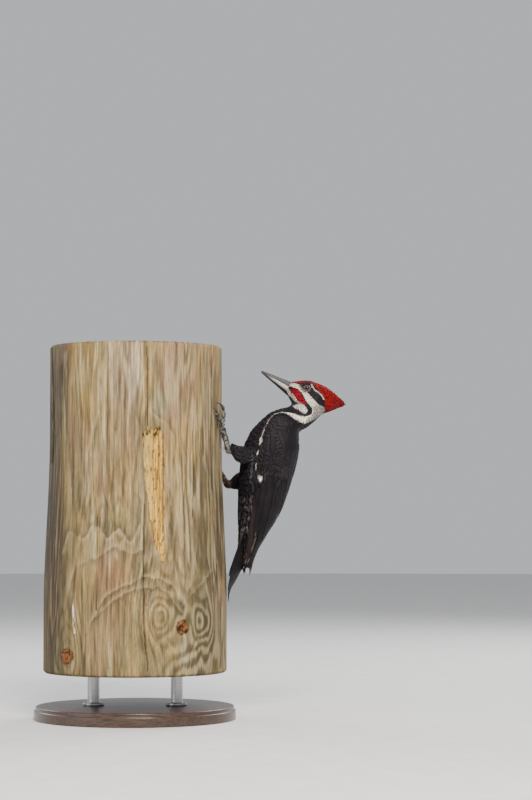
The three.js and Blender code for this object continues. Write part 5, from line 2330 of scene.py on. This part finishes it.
        # Checks: dark cracks along the grain.
        relief = 0.8 * (read(34, 200, 4.0) - 0.5) + 0.35 * (read(6, 120, 1.0) - 0.5) + 1.6 * knots
        plane = np.column_stack([x, z])
        for line, width in CHECKS:
            course = np.array(line, float)
            near = np.flatnonzero((np.abs(x - course[:, 0].mean()) < 12) & (front > 0.5))
            sway = 1.2 * (read(8, 14, 3.3, 2)[near] - 0.5)
            apart = beside(plane[near] + sway[:, None] * [1, 0], course)
            dark = smoothstep(1.1 * width, 0.35 * width, np.abs(apart))
            colours[near] *= (1 - 0.82 * dark)[:, None]
            relief[near] -= 2.2 * dark

        # The torn strip of fresh wood.
        ragged = np.column_stack([x + 2.4 * (read(3.5, 9, 2.0, 2) - 0.5), z + 9 * (read(2.2, 40, 5.0, 2) - 0.5)])
        near = np.flatnonzero((np.abs(x - 28) < 26) & (z > 222) & (z < 446) & (front > 0.5))
        inside = smoothstep(0.7, -0.7, signed_distance(ragged[near], np.array(TORN, float)))
        fibre = read(1.3, 50, 6.0, 2)[near]
        honey, amber = Tone(206, 166, 84).linear, Tone(140, 96, 32).linear
        fresh = honey + (amber - honey) * smoothstep(0.35, 0.75, fibre)[:, None]
        fresh = blend(fresh, Tone(184, 158, 98).linear, smoothstep(26, 14, x[near]) * 0.7)
        flecks = 0.6 * smoothstep(0.62, 0.68, read(1.4, 7, 15.0, 2)[near])
        chips = 0.92 * smoothstep(0.5, 0.56, read(3.0, 5, 9.0, 2)[near]) * smoothstep(414, 423, z[near])
        colours[near] = blend(colours[near], fresh * ((1 - flecks) * (1 - chips))[:, None], inside)
        lip = smoothstep(0.9, 0.0, np.abs(inside - 0.5) * 2)
        relief[near] -= inside * (1.6 + 0.8 * fibre)
        colours[near] *= (1 - 0.35 * lip)[:, None]
        grain[near] += inside * 3.0

        # One long scratch.
        scratch = np.abs(beside(plane, np.array([(-93, 187.5), (-92.4, 160), (-90, 127.5)])))
        share = smoothstep(1.8, 0.8, scratch) * smoothstep(0.35, 0.6, read(2, 12, 3.0, 2)) * front
        colours = blend(colours, Tone(226, 214, 192).linear, share)
        relief = np.clip(relief, -3.2, 1.8)
        return relief, opaque(np.clip(colours, 0.004, 0.95)), grain


@dataclass(frozen=True)
class TimberFinish:
    """Weathered softwood: raised grain lines, fine checks and a dry surface."""

    name: str = "weathered_timber"
    roughness: float = 0.86

    def material(self) -> bpy.types.Material:
        """Makes the material."""
        paint = Paint(self.name)
        fine_at = paint.place((0.9, 0.9, 0.03))
        fibre = paint.noise(fine_at, 1.0, 6, 0.3)
        hair = paint.noise(paint.place((2.6, 2.6, 0.05)), 1.0, 4)
        weave = paint.noise(paint.place((0.12, 0.12, 0.012)), 1.0, 4)
        grain = paint.plus(paint.carried("grain", "Fac"), paint.times(fibre, 0.28))
        line = paint.math("SINE", paint.times(grain, 2 * math.pi))
        late = paint.ramp(line, 0.1, 0.9)
        late = paint.times(late, paint.ramp(weave, 0.35, 0.62, 0.25, 1.0))
        checks = paint.ramp(hair, 0.68, 0.76)
        flecks = paint.ramp(paint.noise(paint.place((0.5, 0.5, 0.16)), 1.0, 5), 0.62, 0.7)
        # Nicks across the grain, paler than the wood.
        nicks = paint.ramp(paint.noise(paint.place((0.07, 0.07, 0.9)), 1.0, 2), 0.66, 0.74)
        nicks = paint.times(nicks, paint.ramp(paint.noise(paint.place((0.02, 0.02, 0.03)), 1.0, 2), 0.45, 0.6))
        factor = paint.times(
            paint.ramp(fibre, 0.25, 0.75, 0.7, 1.26), paint.ramp(hair, 0.3, 0.7, 0.8, 1.16), paint.less(late, 0.22),
            paint.less(checks, 0.6), paint.less(flecks, 0.25), paint.math("MULTIPLY_ADD", nicks, 0.35, 1.0),
        )
        side = paint.shade(paint.carried("plumage"), factor)
        # The sawn ends: yearly rings and fine radial cracks.
        parts = paint.add("ShaderNodeSeparateXYZ", {0: paint.place()}).outputs
        squares = paint.plus(paint.times(parts[0], parts[0]), paint.times(parts[1], parts[1]))
        reach = paint.math("SQRT", squares)
        wander = paint.noise(paint.place((0.03, 0.03, 0.03)), 1.0, 3)
        ring = paint.math("FRACT", paint.plus(paint.math("DIVIDE", reach, 3.4), paint.times(wander, 5.0)))
        angle = paint.math("ARCTAN2", parts[1], parts[0])
        spoke = {0: paint.times(angle, 9.0), 1: paint.times(reach, 0.015)}
        spoke = paint.add("ShaderNodeCombineXYZ", spoke).outputs[0]
        split = paint.ramp(paint.noise(spoke, 1.0, 3), 0.62, 0.68)
        sawn = paint.times(paint.ramp(ring, 0.1, 0.95, 1.12, 0.72), paint.less(split, 0.5))
        cut = paint.shade(paint.carried("plumage"), sawn)
        end = paint.carried("end", "Fac")
        height = paint.math("SUBTRACT", paint.plus(paint.times(fibre, 0.7), paint.times(late, 0.5)), checks)
        return paint.finish(
            Base_Color=paint.mix(end, side, cut),
            Roughness=paint.ramp(fibre, 0.3, 0.7, self.roughness - 0.08, self.roughness + 0.08),
            Specular_IOR_Level=0.25,
            Normal=paint.bump(height, 0.8),
        )


# ------------------------------------------------------------------ feet


@dataclass(frozen=True)
class Foot:
    """One foot: places off the pole's face as degrees round, height and distance."""

    heel: tuple[float, float, float]
    palm: tuple[float, float, float]
    digits: tuple[tuple[tuple[float, float, float], ...], ...]
    thigh_end: tuple[float, float, float]
    sleeve: float  # how much its feathered part adds to the leg's radius
    feathered: float  # share of the leg that is feathered


FEET = {
    Side.LEFT: Foot(
        (14.8, 398, 16.2),
        (16.5, 432, 7),
        (
            ((17, 443, 8), (17.8, 454, 10), (19.6, 463.5, 10.4), (23.4, 468.4, 6.8), (26.4, 465.4, 0.7)),
            ((12.4, 441, 6.4), (9.4, 449, 5.4), (7.4, 456, 6.4), (6, 461, 0.7)),
            ((19.6, 441, 5.6), (22.4, 450, 4.6), (25.2, 458, 5.2), (27.4, 461.6, 0.7)),
            ((15.2, 423, 6.4), (14.2, 414, 9.2), (13.5, 406.5, 10.4), (12.8, 400.5, 6.4), (12.5, 398.6, 0.9)),
        ),
        (149, -37.4, 398),
        0.9,
        0.16,
    ),
    Side.RIGHT: Foot(
        (17.7, 350, 14.6),
        (26.4, 376, 6),
        (
            ((27, 387, 7), (28, 397, 7.4), (29.2, 405.5, 7.4), (30.6, 410.5, 5), (31.4, 411.5, 0.7)),
            ((23.8, 386, 5.8), (22.6, 395, 5), (22, 401.5, 6), (21.6, 406, 0.7)),
            ((31, 382, 5.4), (36, 388, 4.8), (39.8, 393.4, 5.8), (42.2, 396, 0.7)),
            ((24.8, 367.5, 5.8), (23.6, 359.5, 7.4), (22.8, 352.5, 7.6), (22.3, 347.4, 5.4), (22, 345, 0.8)),
        ),
        (147, 42.6, 352),
        2.6,
        0.62,
    ),
}


@dataclass
class Legs:
    """Scaled legs and toes, and the hooked claws."""

    pole: Pole
    tarsus: float = 3.75
    toe: float = 2.7
    toe_tip: float = 2.25
    claw_root: float = 2.1
    claw_tip: float = 0.26
    claw_share: float = 0.36
    scute: float = 1.5  # millimetres between the scales along a toe
    sides: int = 18
    claw_sides: int = 16
    steps: int = 14  # of each curve, from point to point

    def leg(self, side: Side) -> Piece:
        """Makes one leg below its feathers, with its toes."""
        foot, shape = FEET[side], Shape()
        heel, palm = self.pole.off(foot.heel, side), self.pole.off(foot.palm, side)
        middle = 0.5 * (heel + palm) + [1.2, 0, 0]
        shank = smooth_curve([foot.thigh_end, heel, middle, palm], self.steps)

        def girth(u: np.ndarray) -> np.ndarray:
            """The leg's radius, with its knuckle, its waist and what its feathers add."""
            waist = 0.26 * np.sin(np.pi * np.clip((u - 0.15) / 0.85, 0, 1))
            knuckle = 0.16 * np.exp(-(((u - 0.22) / 0.07) ** 2)) + 0.2 * smoothstep(0.86, 1.0, u)
            return self.tarsus * (1 - waist + knuckle) + foot.sleeve * smoothstep(1.15 * foot.feathered, 0.2, u)

        self.limb(shape, even_curve(shank, 90), girth, 1.9, palm, foot.feathered)
        for points in foot.digits:
            path = smooth_curve([palm, *(self.pole.off(p, side) for p in points)], self.steps)
            centres = even_curve(path, 70, 0.0, 1 - self.claw_share + 0.03)

            def radius(u: np.ndarray) -> np.ndarray:
                """A toe's radius, with a pad under each joint."""
                joints = sum(np.exp(-(((u - at) / 0.07) ** 2)) for at in (0.3, 0.62, 0.93))
                return (self.toe + (self.toe_tip - self.toe) * u) * (0.9 + 0.16 * joints)

            self.limb(shape, centres, radius, self.scute, palm)
        return shape.closed(f"leg_{side.word}")

    def limb(
        self,
        shape: Shape,
        centres: np.ndarray,
        radius: Callable[[np.ndarray], np.ndarray],
        pitch: float,
        palm: np.ndarray,
        feathered: float = 0.0,
    ) -> None:
        """Adds one scaled limb with rounded ends.

        Args:
            shape: What it is added to.
            centres: Its middle line.
            radius: Its radius from shares of its length.
            pitch: Millimetres between its scales.
            palm: The foot's middle, which its back faces away from the pole.
            feathered: Share of its length that is feathered.
        """
        u = np.linspace(0, 1, len(centres))
        reach = np.concatenate([[0], np.cumsum(np.linalg.norm(np.diff(centres, axis=0), axis=1))])
        away = unit(np.array([palm[0], palm[1], 0.0]))
        ends = np.sqrt(np.clip(1 - np.clip((u - 0.97) / 0.03, 0, 1) ** 2, 0.02, 1))
        ends *= np.sqrt(np.clip(1 - np.clip((0.02 - u) / 0.02, 0, 1) ** 2, 0.02, 1))
        points, angle = tube(centres, radius(u) * ends, self.sides, away)
        scale = (reach / pitch) % 1.0
        step = np.repeat(np.where(scale < 0.82, 0.35 + 0.65 * scale / 0.82, 0.0), self.sides)
        upper = smoothstep(-0.1, 0.6, np.cos(angle))
        pebble = Noise(41).at(points / 0.8, 2) - 0.5
        middle = np.repeat(centres, self.sides, axis=0)
        points = points + unit(points - middle) * (0.32 * step * upper + 0.4 * pebble * (1 - upper))[:, None]
        tone = Tone(48, 47, 46).linear
        dark, pale = Tone(14, 13, 13).linear, Tone(104, 100, 94).linear
        colours = blend(tone, dark, np.repeat(scale > 0.82, self.sides) * upper * 0.7)
        colours = blend(colours, pale, (1 - upper) * 0.45)
        # Pale patches at random over the scales: painted glints.
        wear_and_glint = smoothstep(0.4, 0.62, Noise(43).at(points / 2.6, 2))[:, None]
        colours = colours * (0.3 + 0.5 * wear_and_glint) + pale * 0.75 * wear_and_glint
        # Warm tan patches at random on the feathered part of the leg: a painted highlight.
        tan = smoothstep(0.58, 0.72, Noise(47).at(points / 4.5, 2))[:, None]
        plume = Tone(36, 26, 24).linear + Tone(96, 68, 42).linear * tan
        covered = (feathered > 0) * np.repeat(smoothstep(feathered + 0.06, feathered - 0.06, u), self.sides)
        colours = blend(colours, plume, covered)
        shape.add(points, ring_faces(len(centres), self.sides), plumage=opaque(colours))

    def claws(self, side: Side) -> Piece:
        """Makes one foot's four claws."""
        foot, shape = FEET[side], Shape()
        palm = self.pole.off(foot.palm, side)
        away = unit(np.array([palm[0], palm[1], 0.0]))
        for number, points in enumerate(foot.digits):
            path = smooth_curve([palm, *(self.pole.off(p, side) for p in points)], self.steps)
            centres = even_curve(path, 34, 1 - self.claw_share - 0.02, 1.0)
            u = np.linspace(0, 1, len(centres))
            size = self.claw_root + (self.claw_tip - self.claw_root) * u**0.9
            size = size * np.sqrt(np.clip(1 - np.clip((u - 0.97) / 0.03, 0, 1) ** 2, 0.05, 1))
            hind = number == 3
            # Each claw carries a painted highlight along it: faint on the three front claws, bright and pale on the
            # hind claw.
            pale = Tone(186, 180, 170).linear * (1.0 if hind else 0.05)
            size = size * (1.2 if hind else 1.0)
            vertices, angle = tube(centres, np.stack([size * 1.06, size * 0.78], axis=1), self.claw_sides, away)
            share = np.repeat(u, self.claw_sides)
            painted_glint = (np.sin(angle) if hind else np.cos(angle))[:, None] ** 2
            horn = Tone(40, 37, 35).linear * (1 - 0.5 * share[:, None]) + pale * painted_glint * (1 - 0.5 * share[:, None] ** 3)
            colours = opaque(horn)
            shape.add(vertices, ring_faces(len(centres), self.claw_sides), plumage=colours)
        return shape.closed(f"claws_{side.word}")


# ------------------------------------------------------------------ the stand


@dataclass(frozen=True)
class LacquerFinish:
    """Dark stained wood under a satin lacquer."""

    name: str = "stained_base"

    def material(self) -> bpy.types.Material:
        """Makes the material."""
        paint = Paint(self.name)
        grain = paint.noise(paint.place((0.02, 0.35, 0.35)), 1.0, 6, 0.8)
        pores = paint.noise(paint.place((0.12, 2.4, 2.4)), 1.0, 3)
        tone = paint.mix(paint.ramp(grain, 0.3, 0.7), Tone(38, 25, 18), Tone(74, 50, 34))
        tone = paint.shade(tone, paint.ramp(pores, 0.58, 0.7, 1.0, 0.7))
        return paint.finish(
            Base_Color=tone,
            Roughness=paint.ramp(grain, 0.3, 0.7, 0.34, 0.46),
            Coat_Weight=0.3,
            Coat_Roughness=0.25,
            Normal=paint.bump(pores, 0.06),
        )


@dataclass(frozen=True)
class SteelFinish:
    """Brushed steel, drawn round the rods."""

    name: str = "brushed_steel"

    def material(self) -> bpy.types.Material:
        """Makes the material."""
        paint = Paint(self.name)
        brush = paint.noise(paint.place((0.2, 0.2, 6.0)), 1.0, 4)
        tone = paint.mix(paint.ramp(brush, 0.3, 0.7), Tone(150, 150, 152), Tone(186, 186, 188))
        return paint.finish(
            Base_Color=tone,
            Metallic=1.0,
            Roughness=paint.ramp(brush, 0.3, 0.7, 0.26, 0.42),
            Normal=paint.bump(brush, 0.03),
        )


@dataclass
class Stand:
    """A round base and the two rods that hold the pole over it."""

    radius: float = 150.0
    height: float = 20.0
    edge: float = 3.0
    rod: float = 9.0
    collar: float = 16.0
    collar_height: float = 4.0
    offset: float = 62.0
    pole_bottom: float = 70.0
    gap: float = 0.3

    @staticmethod
    def turned(shape: Shape, profile: np.ndarray, x: float, sides: int) -> None:
        """Adds a form turned about an upright axis.

        Args:
            shape: What it is added to.
            profile: Rows of radius and height, from low to high.
            x: The axis's place.
            sides: Faces round it.
        """
        angle = turns(sides)
        rings = [np.stack([x + r * np.cos(angle), r * np.sin(angle), np.full(sides, z)], axis=1) for r, z in profile]
        shape.add(np.vstack(rings), ring_faces(len(profile), sides))

    @staticmethod
    def rounded(corners: Sequence[Sequence[float]], size: float) -> np.ndarray:
        """A profile whose inner corners are rounded by size."""
        p = [np.array(c, float) for c in corners]
        out = [p[0]]
        for a, b, c in zip(p, p[1:], p[2:]):
            cut = min(size, 0.45 * np.linalg.norm(b - a), 0.45 * np.linalg.norm(c - b))
            start, end = b + unit(a - b) * cut, b + unit(c - b) * cut
            out += [(1 - t) ** 2 * start + 2 * t * (1 - t) * b + t * t * end for t in np.linspace(0, 1, 6)]
        return np.array([*out, p[-1]])

    def base(self) -> Piece:
        """Makes the base."""
        r, h = self.radius, self.height
        corners = ((r - 12, 0), (r, 0), (r, h - 6), (r - 2.5, h - 6), (r - 2.5, h), (r - 12, h), (r - 60, h), (12, h))
        shape = Shape()
        self.turned(shape, self.rounded(((12, 0), *corners), self.edge * 0.6), 0.0, 160)
        return shape.closed("turned_base")

    def rods(self) -> Piece:
        """Makes the two rods with their collars."""
        low, high = self.height + self.gap, self.pole_bottom - self.gap
        corners = (
            (2, low), (self.collar, low), (self.collar, low + self.collar_height),
            (self.rod, low + self.collar_height), (self.rod, high - self.collar_height),
            (self.collar, high - self.collar_height), (self.collar, high), (2, high),
        )
        shape = Shape()
        for end in (-1, 1):
            self.turned(shape, self.rounded(corners, 0.9), end * self.offset, 64)
        return shape.closed("rods")


# ------------------------------------------------------------------ the studio


@dataclass
class Studio:
    """A pale floor, soft lights and the camera."""

    # Each light's name, place, size, power in watts and colour.
    LIGHTS = (
        ("key", (500, -2600, 2300), 1000, 200, Tone(255, 249, 238)),
        ("fill", (-2400, -1500, 900), 1700, 22, Tone(238, 243, 255)),
        ("back", (1500, 1900, 1900), 1300, 70, Tone(255, 255, 255)),
        ("rim", (-1700, 1500, 1300), 1100, 30, Tone(250, 250, 255)),
    )
    aim: tuple[float, float, float] = (195.0, 0.0, 475.5)
    distance: float = 3400.0
    rise: float = 3.0  # degrees that the camera looks up
    view_height: float = 1200.0
    sensor: float = 36.0
    floor_radius: float = 9000.0
    floor_sides: int = 96
    floor_height: float = -0.05

    def build(self) -> None:
        """Sets the stage."""
        self.floor()
        for light in self.LIGHTS:
            self.light(*light)
        world = bpy.data.worlds.new("studio")
        world.use_nodes = True
        background = world.node_tree.nodes["Background"]
        background.inputs["Color"].default_value = Tone(228, 231, 236).rgba
        background.inputs["Strength"].default_value = 0.7
        bpy.context.scene.world = world
        self.camera()

    def floor(self) -> None:
        """Lays the floor."""
        angle = turns(self.floor_sides)
        rim = self.floor_radius * np.stack([np.cos(angle), np.sin(angle), 0 * angle], axis=1)
        shape = Shape()
        shape.add(rim + [0, 0, self.floor_height], [tuple(range(self.floor_sides))])
        floor = shape.piece("floor", smooth=False)
        paint = Paint("pale_floor")
        speck_and_glint = paint.noise(paint.place((0.02, 0.02, 0.02)), 1.0, 5)
        tone = paint.mix(paint.ramp(speck_and_glint, 0.3, 0.7), Tone(206, 206, 204), Tone(212, 212, 210))
        floor.data.materials.append(paint.finish(Base_Color=tone, Roughness=0.7, Normal=paint.bump(speck_and_glint, 0.2)))

    @staticmethod
    def light(name: str, place: Sequence[float], size: float, power: float, tone: Tone) -> None:
        """Hangs a square soft light that faces the bird.

        Args:
            name: Its name.
            place: Where it hangs.
            size: Its side.
            power: Its power in watts.
            tone: Its colour.
        """
        lamp = bpy.data.lights.new(name, "AREA")
        lamp.size, lamp.energy, lamp.color = size * MM, power, tone.rgba[:3]
        holder = bpy.data.objects.new(name, lamp)
        holder.location = Vector(place) * MM
        holder.rotation_euler = (Vector((0.15, 0, 0.4)) - holder.location).to_track_quat("-Z", "Y").to_euler()
        bpy.context.scene.collection.objects.link(holder)

    def camera(self) -> None:
        """Sets up the camera."""
        lens = bpy.data.cameras.new("camera")
        lens.sensor_width, lens.sensor_fit = self.sensor, "AUTO"
        lens.lens = self.sensor * self.distance / self.view_height
        lens.clip_end = 60
        camera = bpy.data.objects.new("camera", lens)
        angle = math.radians(self.rise)
        way = Vector((0, math.cos(angle), math.sin(angle)))
        camera.location = (Vector(self.aim) - way * self.distance) * MM
        camera.rotation_euler = way.to_track_quat("-Z", "Y").to_euler()
        bpy.context.scene.collection.objects.link(camera)
        bpy.context.scene.camera = camera


# ------------------------------------------------------------------ putting it together


def main() -> None:
    """Builds every piece in order."""
    logging.basicConfig(level=logging.INFO, format="%(name)s: %(message)s")
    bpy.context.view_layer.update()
    Studio().build()

    feather = FeatherFinish("plumage_vanes").material()
    soft = FeatherFinish("plumage_skin", roughness=0.7).material()
    horn = HornFinish("bill_horn", roughness=0.5, coat=0.0, specular=0.25).material()
    scale = HornFinish("leg_scales", roughness=0.5, coat=0.05, grain=(0.8, 0.8, 0.8)).material()
    claw = HornFinish("claw_horn", roughness=0.3, coat=0.2).material()

    pole = Pole()
    settle(pole.build(), TimberFinish().material(), "timber", ("perch_pole",))
    stand = Stand()
    settle(stand.base(), LacquerFinish().material(), "base", ("stand_base",))
    settle(stand.rods(), SteelFinish().material(), "steel", ("stand_rod_1", "stand_rod_2"))

    plumage = Plumage()
    skin = Skin()
    skin.build(plumage)
    maker = CoatMaker(skin, plumage)
    for coat in COATS:
        maker.lay(coat, feather)
    flight, smooth = FlightFeathers(plumage), FeatherFinish("plumage_quills", roughness=0.5, specular=0.14).material()
    for side in Side:
        settle(flight.wing(WingFace(skin, side), WING_ROWS), smooth, "black_feather")
    settle(Tail().build(flight), smooth, "black_feather", ("tail",))
    kept = skin.piece.data.attributes
    for name in [a.name for a in kept if a.name.startswith(("grow_", "vane_", "flow", "outward", "coat_depth"))]:
        kept.remove(kept[name])
    settle(skin.piece, soft, "black_feather", skin.flesh)

    bill = Bill()
    settle(bill.half(1), horn, "bill_slate", ("bill_upper",))
    settle(bill.half(-1), horn, "bill_horn", ("bill_lower",))
    eyes, clear, legs = Eyes(), EyeFinish().material(), Legs(pole)
    for side in Side:
        settle(eyes.ball(side), clear, "eye", (f"eye_{side.word}",))
        settle(eyes.lids(side, skin), scale, "black_feather")
        settle(legs.leg(side), scale, "scale", (f"foot_{side.word}",))
        digits = tuple(f"claw_{side.word}_{digit}" for digit in ("front", "inner", "outer", "rear"))
        settle(legs.claws(side), claw, "claw", digits)


if __name__ == "__main__":
    main()
